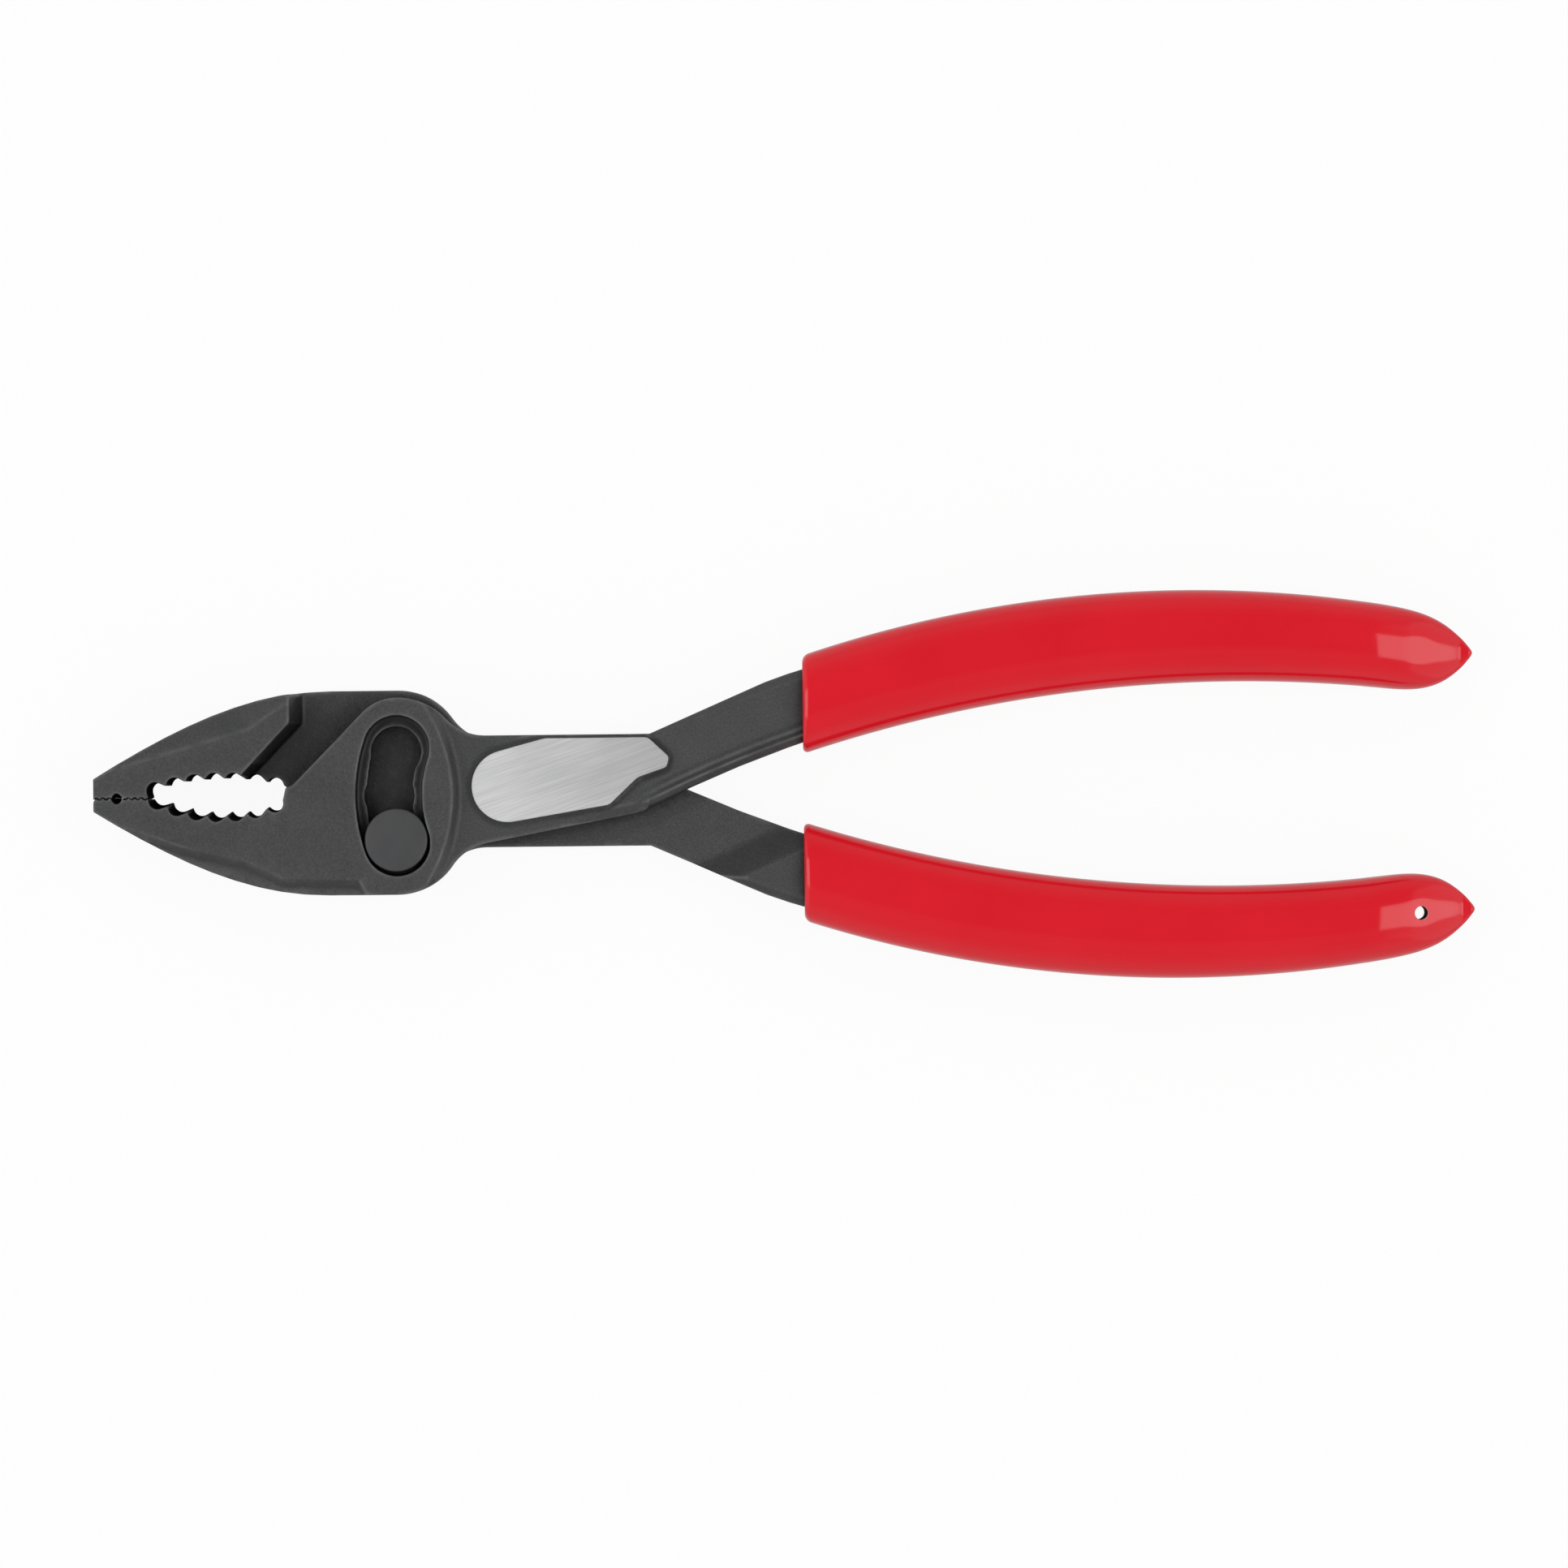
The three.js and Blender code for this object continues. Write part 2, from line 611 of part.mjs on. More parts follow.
function pivotWasher() {
  const low = LEDGE_Z + STACK_GAP;
  const high = low + WASHER_THICKNESS;
  const inner = NECK_PIN_R + BORE_CLEARANCE;
  const outer = HEAD_R - WASHER_MARGIN;
  return geometryOf(solid(lathed([[inner, low], [outer, low], [outer, high], [inner, high], [inner, low]])));
}

function pivotNut() {
  const corner = NUT_FLATS / 2 / Math.cos(Math.PI / 6);
  const shape = new THREE.Shape();
  for (let i = 0; i < 6; i += 1) {
    const angle = i * Math.PI / 3;
    shape.lineTo(corner * Math.cos(angle), corner * Math.sin(angle));
  }
  const bore = cylinder(0, 0, THREAD_R + THREAD_CLEARANCE, -PAST, NUT_HEIGHT + PAST);
  return geometryOf(solid(extruded(shape, 0, NUT_HEIGHT)).subtract(bore));
}

// Dipped grip: a rounded sleeve along the bar, drawn out to a drip at its end

function gripHalfWidth(x) {
  const away = (x - GRIP_WIDEST_X) / GRIP_TAPER_LENGTH;
  return GRIP_WIDTH / 2 * (1 - away * away);
}

function noseShare(x) {
  const share = Math.min(1, (LENGTH - x) / NOSE_LENGTH);
  return Math.pow(Math.sin(share * Math.PI / 2), NOSE_POINT);
}

function gripRing(x, inset) {
  const centre = bowY(Math.min(x, LENGTH - DRIP_LENGTH));
  const nose = noseShare(x);
  const h = gripHalfWidth(x) * bowStretch(x) * nose - inset;
  const b = THICKNESS / 2 * nose - inset;
  const power = 2 / GRIP_SQUARENESS;
  const ring = [];
  for (let j = 0; j < GRIP_RING_POINTS; j += 1) {
    const angle = 2 * Math.PI * j / GRIP_RING_POINTS;
    const c = Math.cos(angle);
    const s = Math.sin(angle);
    ring.push([
      x,
      centre + h * Math.sign(c) * Math.pow(Math.abs(c), power),
      MID_Z + b * Math.sign(s) * Math.pow(Math.abs(s), power),
    ]);
  }
  return ring;
}

function grip() {
  const rings = [gripRing(GRIP_MOUTH_X, GRIP_LIP_INSET)];
  const start = GRIP_MOUTH_X + GRIP_LIP;
  const noseStart = LENGTH - NOSE_LENGTH;
  for (let i = 0; i <= GRIP_STATIONS; i += 1) {
    rings.push(gripRing(start + (noseStart - start) * i / GRIP_STATIONS, 0));
  }
  for (let i = 1; i <= NOSE_STATIONS; i += 1) {
    const left = 1 - i / (NOSE_STATIONS + 1);
    rings.push(gripRing(LENGTH - NOSE_LENGTH * left * left, 0));
  }
  rings.push(gripRing(LENGTH, -DRIP_TIP_R));
  return solid(loft(rings)).subtract(bar(GRIP_MOUTH_X - BAR_WIDTH, GRIP_FIT));
}

// Assembly, with the origin under the middle of the tool

function mesh(name, geometry, material) {
  const piece = new THREE.Mesh(geometry, material);
  piece.name = name;
  return piece;
}

function pivotPiece(name, geometry) {
  const piece = mesh(name, geometry, boltSteel);
  piece.position.set(PIVOT_X, -PIVOT_DROP, 0);
  return piece;
}

const pliers = new THREE.Group();
pliers.position.x = -LENGTH / 2;
pliers.add(mesh('front_half', geometryOf(frontHalf()), blackSteel));
pliers.add(mesh('rear_half', geometryOf(rearHalf()), blackSteel));
pliers.add(pivotPiece('pivot_bolt', pivotBolt()));
pliers.add(pivotPiece('pivot_washer', pivotWasher()));
pliers.add(pivotPiece('pivot_nut', pivotNut()));
pliers.add(mesh('upper_grip', geometryOf(grip()), redGrip));
pliers.add(mesh('lower_grip', geometryOf(turnedOver(grip()).subtract(tetherHole(TETHER_R))), redGrip));

export default pliers;
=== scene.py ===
"""Looks of slip-joint pliers with dipped grips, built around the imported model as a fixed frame.

Sizes are in millimetres in the tool's own frame, as the solids have them: x from the jaw tips to the
grip ends, y across the tool from its axis towards the upper jaw, z up from the back face.
"""
import math

import bmesh
import bpy
import numpy as np
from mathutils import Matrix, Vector
from mathutils.bvhtree import BVHTree


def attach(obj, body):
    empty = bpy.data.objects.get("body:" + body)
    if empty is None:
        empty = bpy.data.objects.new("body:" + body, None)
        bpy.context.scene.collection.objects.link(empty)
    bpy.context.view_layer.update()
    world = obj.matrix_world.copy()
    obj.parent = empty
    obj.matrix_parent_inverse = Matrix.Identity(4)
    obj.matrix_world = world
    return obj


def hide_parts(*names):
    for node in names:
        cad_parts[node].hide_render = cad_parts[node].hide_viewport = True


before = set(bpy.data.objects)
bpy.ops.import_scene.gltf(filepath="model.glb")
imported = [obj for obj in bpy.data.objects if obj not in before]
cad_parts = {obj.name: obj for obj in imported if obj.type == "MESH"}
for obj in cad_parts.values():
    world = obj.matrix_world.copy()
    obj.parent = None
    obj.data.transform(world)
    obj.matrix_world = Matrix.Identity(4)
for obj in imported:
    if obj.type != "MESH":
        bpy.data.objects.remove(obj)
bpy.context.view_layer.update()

MM = 0.001

# Whole tool
LENGTH = 203.2
THICKNESS = 11.0
MID_Z = THICKNESS / 2
LAP_Z = 5.65

# Pivot
PIVOT_X = 44.4
PIVOT_Y = -7.0
HEAD_R = 4.62
HEAD_TOP_Z = 10.85
HEAD_UNDER_Z = 9.1
HEAD_EDGE_R = 0.3
HEAD_CROWN = 0.06
NECK_PIN_R = 2.95
THREAD_R = 2.45
THREAD_END_CHAMFER = 0.4
NUT_SEAT_Z = 2.4
BOLT_EDGE = 0.12
WASHER_IN_R = 3.07
WASHER_OUT_R = 4.42
WASHER_LOW_Z = 8.5
WASHER_HIGH_Z = 9.0
WASHER_EDGE = 0.1
NUT_SIDES = 6
NUT_FLATS = 8.0
NUT_HEIGHT = 2.3
NUT_BORE_R = 2.6
NUT_CHAMFER = 0.6
NUT_FACE_SHARE = 0.96
NUT_SINK = 0.35
SLOT_X = 64.36
SLOT_Y = -0.475
SLOT_R = 21.0
SLOT_ROOM = 6.2
SLOT_REACH = 13.5

# Ground flat on the neck
NECK_END = 80.3
PAD_TOP_Z = 9.72
PAD_LOW_Z = 9.38
PAD_EDGE = 0.09
PAD_ROUND = (60.8, 0.77)
PAD_ROUND_R = 5.37
PAD_LOWER = (75.75, -2.19)
PAD_NOTCH = (79.95, 1.79)
PAD_NOSE_LOWER = (84.25, 3.26)
PAD_NOSE_UPPER = (84.65, 4.82)
PAD_TOP_END = (81.5, 7.8)
PAD_TOP_START = (66.3, 7.8)
PAD_INSET = 0.08
PAD_CORNER_R = 0.55
PAD_ARC_STEPS = 28
PAD_CORNER_STEPS = 5
BRUSH_ANGLE = math.radians(19)
# Painted reflection: the ground flat's colour scale at its end by the jaws and at its far end
PAD_SHEEN_BRIGHT = 1.2
PAD_SHEEN_DIM = 0.82

# Handle bars and grips
BOW_R = 191.7
BOW_APEX_X = 163.9
BOW_APEX_Y = 21.8
BAR_HALF_HEIGHT = 5.15
BAR_END_HALF_HEIGHT = 3.8
BAR_HALF_DEPTH = 3.5
BAR_END_X = 198.2
GRIP_FIT = 0.3
GRIP_MOUTH_X = 104.3
GRIP_HALF_WIDTH = 7.1
GRIP_WIDEST_X = 130.0
GRIP_TAPER_LENGTH = 162.5
GRIP_SQUARENESS = 2.6
BORE_SQUARENESS = 5.0
LIP_DEPTH = 0.95
NOSE_LENGTH = 16.0
NOSE_ROUND = 4
DRIP_START_X = 191.2
DRIP_TIP_R = 0.5
DRIP_TIP_HALF = 1.2
DRIP_TIP_BLEND = 3
TAIL_START_X = 186.0
TAIL_END_X = 201.3
FIN_HALF_DEPTH = 1.0
BAR_TAPER_X = 189.0
BAR_TAPER_SHARE = 0.4
TETHER_X = 195.0
TETHER_R = 1.02
TETHER_FLARE = 0.2
DENT_R = 2.8
DENT_DEPTH = 0.12
TETHER_FLARE_START = 0.7

# Mesh fineness
SEAM = 0.02
MERGE = 0.001
TINY = 1e-6
VOXEL = 0.2
FORGING_TRIANGLES = 170_000
RING_POINTS = 96
BODY_STATIONS = 120
TAIL_STATIONS = 60
TAIL_CROWDING = 1.5
LIP_STATIONS = 14
BORE_STATIONS = 30
LATHE_STEPS = 96
EDGE_STEPS = 5
TETHER_STATIONS = 41
TETHER_STEPS = 64

# Angles in degrees past which an edge is shaded sharp
PAD_SHARP = 25
BOLT_SHARP = 35
NUT_SHARP = 30
GRIP_SHARP = 50

# Smoothing rounds of the forgings by zone: more rounds give rounder edges
TEETH_ROUNDS = 2.0
JAW_ROUNDS = 4.0
BOSS_ROUNDS = 13.0
SLOT_ROUNDS = 4.0
NECK_ROUNDS = 16.0
HANDLE_ROUNDS = 12.0
ROUND_SHARE = 0.5
JAW_END_X = 29.0
TEETH_HALF_HEIGHT = 5.0
BOSS_END_X = 60.0
HANDLE_START_X = 84.0
ZONE_BLEND = 3.0
EDGE_BLEND = 1.0

# Details of the forgings
WIRE_HOLE = (3.4, -0.5)
WIRE_HOLE_R = 1.0
WIRE_HOLE_REACH = 1.6
WIRE_HOLE_LEAN = 0.8
FRONT_LOW_Z = 8.3
FRONT_HIGH_Z = 8.8
NECK_TOP_Z = 9.3
NECK_TOP_ROOM = 0.1
BAR_TOP_Z = 9.0
NECK_FALL_X = 68.0
NECK_FALL_END_X = NECK_END - 2.0
NECK_HALF = 8.25
CORNER_X = 81.7
CORNER_RISE = math.tan(math.radians(23.5))
CORNER_START_X = 72.0
CORNER_END_X = 103.0
NECK_EDGE_Y = -3.11
NECK_EDGE_SLOPE = math.tan(math.radians(10.8))
NECK_BEVEL = 1.3
NECK_BEVEL_START_X = 67.0
NECK_BEVEL_END_X = NECK_END + 1.0
GROOVE_INSETS = (1.3, 2.5)
GROOVE_DEPTHS = (0.34, 0.16)
GROOVE_HALF_WIDTH = 0.32
GROOVE_START_X = NECK_END - 3.0
GROOVE_FULL_X = NECK_END + 5.0
JAW_CREASE = ((0.0, -3.0), (4.2, -4.45), (12.95, -7.65), (22.1, -9.77),
              (27.7, -12.4), (38.8, -12.7), (40.8, -16.0))
UPPER_CREASE = ((4.2, 4.2), (22.8, 9.5), (28.2, 13.2))
UPPER_CREASE_HALF_WIDTH = 0.32
UPPER_CREASE_LOW_Z = LAP_Z + 2.0
CREASE_BAND = 1.2
CREASE_STEEP = math.tan(math.radians(38))
CREASE_GENTLE = math.tan(math.radians(22))
JUNCTION_ROUNDS = 45.0
JUNCTION_REACH = 3.0
CONTOUR_FLAT = 0.25
CONTOUR_WIDTH = 1.1
CONTOUR_DEPTH = 0.14
BAR_LOW_Z = 2.0

# Shelter of each point of the steel, from rays all round it, which sets how much painted shade it gets
SHELTER_RAYS = 44
SHELTER_REACH = 9.0
SHELTER_LIFT = 0.02
SHELTER_LEAST = 0.08
SHELTER_END_X = GRIP_MOUTH_X + 2.0
GOLDEN_TURN = math.pi * (1.0 + math.sqrt(5.0))

# Painted highlight, painted shade and the as-forged share of the steel: how much, and the ranges in which
# they come in
# Painted highlight along edges and along the upper jaw's crease
HIGHLIGHT_START = 0.28
HIGHLIGHT_END = 1.2
HIGHLIGHT_MOST = 0.9
HIGHLIGHT_SOFT = 2
UPPER_CREASE_HIGHLIGHT = 0.45
COVERED_START = 0.05
COVERED_END = 0.15
COVERED_OPEN = 0.6
# Painted shade on the walls between the teeth, and the zone it covers
TEETH_SHADE = 0.4
TEETH_INNER_HEIGHT = 4.4
TIP_FACE_X = 0.4
WALL_DARK = 0.5
WALL_LEVEL = (0.35, 0.75)
WALL_OPEN = (0.75, 0.95)
FLAT_LEVEL = (0.9, 0.97)
RAMP_DARK = 0.4
RAMP_SOFT = 40
RAMP_X = (84.0, 86.0)
RAMP_LEVEL = (0.55, 0.7)
RAMP_LOW_Z = BAR_LOW_Z + 0.2
RAMP_HIGH_Z = LAP_Z - 0.4
GROOVE_DARK = 0.45
RECESS_DARK = 0.5
RECESS_END_X = 50.0
RECESS_LOW_Z = LAP_Z + 0.3
RECESS_RIM_Z = (10.2, 10.8)
CREASE_DARK = 0.3
CREASE_LOW_Z = LAP_Z + 1.0
CREASE_SOFT = 0.3
CREASE_FADE = 0.5
CONTOUR_DARK = 0.3
CONTOUR_NEAR = 0.4
CONTOUR_Z = (8.5, 9.0)
LAP_LEVEL = (0.5, 0.8)
LAP_BAND = (0.2, 0.5)
FORGED_NECK = 0.45
FORGED_SLOPE = 0.5
FORGED_LEAST = 0.12

# Most of the values that a noise takes lie between these
NOISE_LOW = 0.3
NOISE_HIGH = 0.7

# Black steel: colours, sizes of marks and depths of relief
OXIDE_DARK = (0.055, 0.0553, 0.0563)
OXIDE_LIGHT = (0.066, 0.0663, 0.0675)
BARE_STEEL_AND_HIGHLIGHT = (0.15, 0.15, 0.152)
# Bare steel: the colour of real specks on forged faces and of the painted highlight along edges
MOTTLE_SIZE = 7.0
FINE_SIZE = 0.3
FINE_TINT = (0.74, 1.26)
FINE_RELIEF = 0.018
PATCH_SIZE = 2.6
PATCH_LEAST = 0.4
PATCH_RANGE = (0.35, 0.62)
PEBBLE_SIZE = 0.7
PEBBLE_RELIEF = 0.08
SPECK_SIZE = 0.24
SPECK_MOST = 0.35
SPECK_RANGE = (0.64, 0.76)
# Painted shade: the tint of the most sheltered steel, and the openness over which it fades out
SHELTER_SHADE = 0.05
OPEN_RANGE = (0.18, 0.94)
STEEL_ROUGHNESS = (0.46, 0.60)
STEEL_METALLIC = 0.2
STEEL_SPECULAR = 0.5
UPRIGHT_LEVEL = (0.3, 0.7)

# Turned steel of the pivot
BOLT_DARK = (0.064, 0.0645, 0.067)
BOLT_LIGHT = (0.074, 0.0745, 0.077)
BOLT_MOTTLE_SIZE = 4.0
BOLT_FINE_SIZE = 0.16
BOLT_RELIEF = 0.008
BOLT_ROUGHNESS = (0.42, 0.54)
BOLT_METALLIC = 0.25

# Ground steel of the flat
GROUND_DARK = (0.64, 0.64, 0.643)
GROUND_LIGHT = (0.80, 0.80, 0.803)
GROUND_LINE_SIZE = 0.14
GROUND_LINE_STRETCH = (36.0, 1.0, 1.0)
GROUND_RELIEF = 0.012
GROUND_STREAK_SIZE = 0.2
GROUND_STREAK_STRETCH = (40.0, 1.0, 1.0)
GROUND_CLOUD_SIZE = 8.0
GROUND_CLOUD_STRETCH = (1.6, 1.0, 1.0)
GROUND_ROUGHNESS = (0.40, 0.52)
GROUND_METALLIC = 0.75

# Dipped plastic of the grips
RED_DARK = (0.75, 0.0090, 0.0205)
RED_LIGHT = (0.78, 0.0110, 0.0230)
RED_CLOUD_SIZE = 14.0
RED_WAVE_SIZE = 6.0
RED_RELIEF = 0.012
RED_HAZE_SIZE = 0.9
RED_ROUGHNESS = (0.10, 0.14)
RED_SPECULAR = 0.4

# Camera and stage
PHOTO_SIZE = 1932
PIXEL = 0.1198
CAMERA_RISE = 1000.0
CAMERA_OFF = (-0.16, 0.63)
CAMERA_ROLL = math.radians(-0.62)
SENSOR = 36.0
FLOOR_HALF = 5.0
FLOOR_DROP = 0.05
FLOOR_COLOUR = (0.9, 0.9, 0.9)
FLOOR_BOUNCED = (0.4, 0.4, 0.4)
FLOOR_ROUGHNESS = 0.9
FLOOR_GLOW = 0.93
FLOOR_MIRRORED = 0.55

# Light: brightness of each part of the sky, and the directions between which it comes in or fades
SKY_HIGH = 0.2
SKY_LOW = 0.5
SKY_FALL = (0.25, 0.85)
SKY_LEAST_RISE = 0.02
SKY_PANEL = 0.42
PANEL_TILT = (0.5, 0.8)
PANEL_FAN = 0.8
PANEL_EDGE = 0.15
SKY_STRIP = 2.2
STRIP_NEAR = (0.28, 0.42)
STRIP_FAR = (2.0, 2.4)
STRIP_SIDE = (0.20, 0.26)
SKY_BELOW = 0.15
BELOW_TILT = (0.16, 0.22)

# Lamps: azimuth and elevation in degrees, and strength
UPPER_FILL = (105, 40, 0.5)
LOWER_FILL = (-75, 40, 0.18)
FILL_SPREAD = 40.0


def ease(value, start, end):
    """0 before start, 1 after end and a smooth step between them."""
    share = np.clip((value - start) / (end - start), 0.0, 1.0)
    return share * share * (3.0 - 2.0 * share)


def placed(points):
    """Points of the tool's frame, in the frame's metres."""
    return (np.asarray(points, dtype=float) - (LENGTH / 2, 0.0, 0.0)) * MM


def in_tool(points):
    """Points in metres, in the tool's frame."""
    return np.asarray(points) / MM + (LENGTH / 2, 0.0, 0.0)


def turned_over(points):
    """Half a turn about the tool's axis, as the rear half lies against the front half."""
    return points * (1.0, -1.0, -1.0) + (0.0, 0.0, THICKNESS)


# Node materials


class Look:
    """A material with one principled shader, and short ways to add nodes to it."""

    def __init__(self, name):
        self.material = bpy.data.materials.new(name)
        self.material.use_nodes = True
        self.tree = self.material.node_tree
        self.shader = self.tree.nodes["Principled BSDF"]
        self.places = self.add("ShaderNodeTexCoord").outputs["Object"]

    def add(self, kind):
        return self.tree.nodes.new(kind)

    def link(self, output, target):
        self.tree.links.new(output, target)

    def set(self, **values):
        for name, value in values.items():
            self.shader.inputs[name.replace("_", " ")].default_value = value

    def feed(self, name, output):
        self.link(output, self.shader.inputs[name])

    def noise(self, grain, detail=3.0, stretch=(1.0, 1.0, 1.0), turn=0.0):
        """Noise with features of about the given size in millimetres, drawn out along turned axes."""
        mapping = self.add("ShaderNodeMapping")
        mapping.vector_type = "TEXTURE"
        mapping.inputs["Rotation"].default_value = (0.0, 0.0, turn)
        mapping.inputs["Scale"].default_value = [grain * MM * s for s in stretch]
        self.link(self.places, mapping.inputs["Vector"])
        node = self.add("ShaderNodeTexNoise")
        node.inputs["Scale"].default_value = 1.0
        node.inputs["Detail"].default_value = detail
        self.link(mapping.outputs["Vector"], node.inputs["Vector"])
        return node.outputs["Fac"]

    def spread(self, factor, low, high, start=NOISE_LOW, end=NOISE_HIGH):
        """A number from low to high as the factor goes from start to end."""
        node = self.add("ShaderNodeMapRange")
        for name, value in (("From Min", start), ("From Max", end), ("To Min", low), ("To Max", high)):
            node.inputs[name].default_value = value
        self.link(factor, node.inputs["Value"])
        return node.outputs["Result"]

    def between(self, share, none, full):
        """A number from none to full as a share goes from 0 to 1."""
        return self.spread(share, none, full, 0.0, 1.0)

    def shades(self, factor, dark, light):
        """A colour between two shades, each a fixed colour or another node's."""
        node = self.add("ShaderNodeMix")
        node.data_type = "RGBA"
        for socket, shade in zip(("A_Color", "B_Color"), (dark, light)):
            target = next(i for i in node.inputs if i.identifier == socket)
            if isinstance(shade, tuple):
                target.default_value = (*shade, 1.0)
            else:
                self.link(shade, target)
        self.link(factor, node.inputs["Factor"])
        return next(o for o in node.outputs if o.identifier == "Result_Color")

    def tinted(self, colour, factor):
        """A colour made darker or lighter by a factor."""
        node = self.add("ShaderNodeVectorMath")
        node.operation = "SCALE"
        self.link(colour, node.inputs[0])
        self.link(factor, node.inputs["Scale"])
        return node.outputs["Vector"]

    def combined(self, operation, first, second):
        node = self.add("ShaderNodeMath")
        node.operation = operation
        node.use_clamp = True
        self.link(first, node.inputs[0])
        self.link(second, node.inputs[1])
        return node.outputs[0]

    def times(self, first, second):
        return self.combined("MULTIPLY", first, second)

    def added(self, first, second):
        return self.combined("ADD", first, second)

    def mask(self, name):
        node = self.add("ShaderNodeAttribute")
        node.attribute_name = name
        return node.outputs["Fac"]

    def wall(self):
        """1 on faces that stand upright in the piece's own frame, 0 on level ones."""
        split = self.add("ShaderNodeSeparateXYZ")
        self.link(self.add("ShaderNodeTexCoord").outputs["Normal"], split.inputs[0])
        size = self.add("ShaderNodeMath")
        size.operation = "ABSOLUTE"
        self.link(split.outputs["Z"], size.inputs[0])
        return self.spread(size.outputs[0], 1.0, 0.0, *UPRIGHT_LEVEL)

    def bump(self, height, depth, under=None):
        """Relief of the given depth in millimetres, on top of another relief."""
        node = self.add("ShaderNodeBump")
        node.inputs["Distance"].default_value = depth * MM
        self.link(height, node.inputs["Height"])
        if under:
            self.link(under, node.inputs["Normal"])
        return node.outputs["Normal"]


def black_steel():
    """Black oxide on forged steel: satin, pebbly where it was left as forged, with painted shade in hollows
    and on walls, dull and painted darker between the teeth, and painted highlights along edges.
    """
    look = Look("black_steel")
    mottle = look.noise(MOTTLE_SIZE, detail=5.0)
    fine = look.noise(FINE_SIZE, detail=4.0)
    patches = look.spread(look.noise(PATCH_SIZE), PATCH_LEAST, 1.0, *PATCH_RANGE)
    pebble = look.noise(PEBBLE_SIZE, detail=2.0)
    specks = look.spread(look.noise(SPECK_SIZE, detail=1.0), 0.0, SPECK_MOST, *SPECK_RANGE)
    forged = look.mask("forged")
    in_teeth = look.times(look.mask("teeth"), look.wall())
    oxide_and_shade = look.shades(look.spread(mottle, 0.0, 1.0), OXIDE_DARK, OXIDE_LIGHT)
    oxide_and_shade = look.tinted(oxide_and_shade, look.spread(fine, *FINE_TINT))
    # Painted shade: darker where the steel is sheltered, and on walls, the ramp, grooves and the recess
    oxide_and_shade = look.tinted(oxide_and_shade, look.spread(look.mask("unshaded"), SHELTER_SHADE, 1.0, *OPEN_RANGE))
    # Painted shade on the walls between the teeth
    oxide_and_shade = look.tinted(oxide_and_shade, look.between(in_teeth, 1.0, TEETH_SHADE))
    # Painted highlight along edges, in patches, plus real bare specks on forged faces, both in bare steel
    highlight_and_specks = look.added(look.times(patches, look.mask("edge_highlight")), look.times(specks, forged))
    look.feed("Base Color", look.shades(highlight_and_specks, oxide_and_shade, BARE_STEEL_AND_HIGHLIGHT))
    look.feed("Roughness", look.spread(fine, *STEEL_ROUGHNESS))
    relief = look.bump(fine, FINE_RELIEF)
    look.feed("Normal", look.bump(look.times(pebble, forged), PEBBLE_RELIEF, relief))
    look.feed("Metallic", look.between(in_teeth, STEEL_METALLIC, 0.0))
    look.feed("Specular IOR Level", look.between(in_teeth, STEEL_SPECULAR, 0.0))
    return look.material


def bolt_steel():
    """Turned steel with the same black finish, smoother than the forgings."""
    look = Look("bolt_steel")
    mottle = look.noise(BOLT_MOTTLE_SIZE)
    fine = look.noise(BOLT_FINE_SIZE)
    look.feed("Base Color", look.shades(look.spread(mottle, 0.0, 1.0), BOLT_DARK, BOLT_LIGHT))
    look.feed("Roughness", look.spread(fine, *BOLT_ROUGHNESS))
    look.feed("Normal", look.bump(fine, BOLT_RELIEF))
    look.set(Metallic=BOLT_METALLIC)
    return look.material


def ground_steel():
    """Bare steel ground with a coarse belt, its lines slanting across the flat, with a painted reflection
    that makes it brighter towards the jaws.
    """
    look = Look("ground_steel")
    lines = look.noise(GROUND_LINE_SIZE, detail=3.0, stretch=GROUND_LINE_STRETCH, turn=BRUSH_ANGLE)
    streaks = look.noise(GROUND_STREAK_SIZE, detail=4.0, stretch=GROUND_STREAK_STRETCH, turn=BRUSH_ANGLE)
    cloud = look.noise(GROUND_CLOUD_SIZE, detail=1.0, stretch=GROUND_CLOUD_STRETCH, turn=BRUSH_ANGLE)
    split = look.add("ShaderNodeSeparateXYZ")
    look.link(look.places, split.inputs[0])
    ends = placed([(PAD_ROUND[0], 0.0, 0.0), (PAD_NOSE_UPPER[0], 0.0, 0.0)])[:, 0]
    # Painted reflection: the flat's colour brighter towards the jaws
    along = look.spread(split.outputs["X"], PAD_SHEEN_BRIGHT, PAD_SHEEN_DIM, *ends)
    tone = look.shades(look.spread(streaks, 0.0, 1.0), GROUND_DARK, GROUND_LIGHT)
    look.feed("Base Color", look.tinted(tone, along))
    look.feed("Roughness", look.spread(cloud, *GROUND_ROUGHNESS))
    look.feed("Normal", look.bump(lines, GROUND_RELIEF))
    look.set(Metallic=GROUND_METALLIC)
    return look.material


def red_grip():
    """Glossy dipped plastic, slightly uneven from the dip."""
    look = Look("red_grip")
    cloud = look.noise(RED_CLOUD_SIZE, detail=2.0)
    waves = look.noise(RED_WAVE_SIZE, detail=1.0)
    haze = look.noise(RED_HAZE_SIZE, detail=2.0)
    look.feed("Base Color", look.shades(look.spread(cloud, 0.0, 1.0), RED_DARK, RED_LIGHT))
    look.feed("Roughness", look.spread(haze, *RED_ROUGHNESS))
    look.feed("Normal", look.bump(waves, RED_RELIEF))
    look.set(Specular_IOR_Level=RED_SPECULAR)
    return look.material


# Mesh tools


def coordinates(mesh):
    flat = np.empty(3 * len(mesh.vertices))
    mesh.vertices.foreach_get("co", flat)
    return flat.reshape(-1, 3)


def set_coordinates(mesh, points):
    mesh.vertices.foreach_set("co", points.ravel())
    mesh.update()


def normals(mesh):
    flat = np.empty(3 * len(mesh.vertices))
    mesh.vertex_normals.foreach_get("vector", flat)
    return flat.reshape(-1, 3)


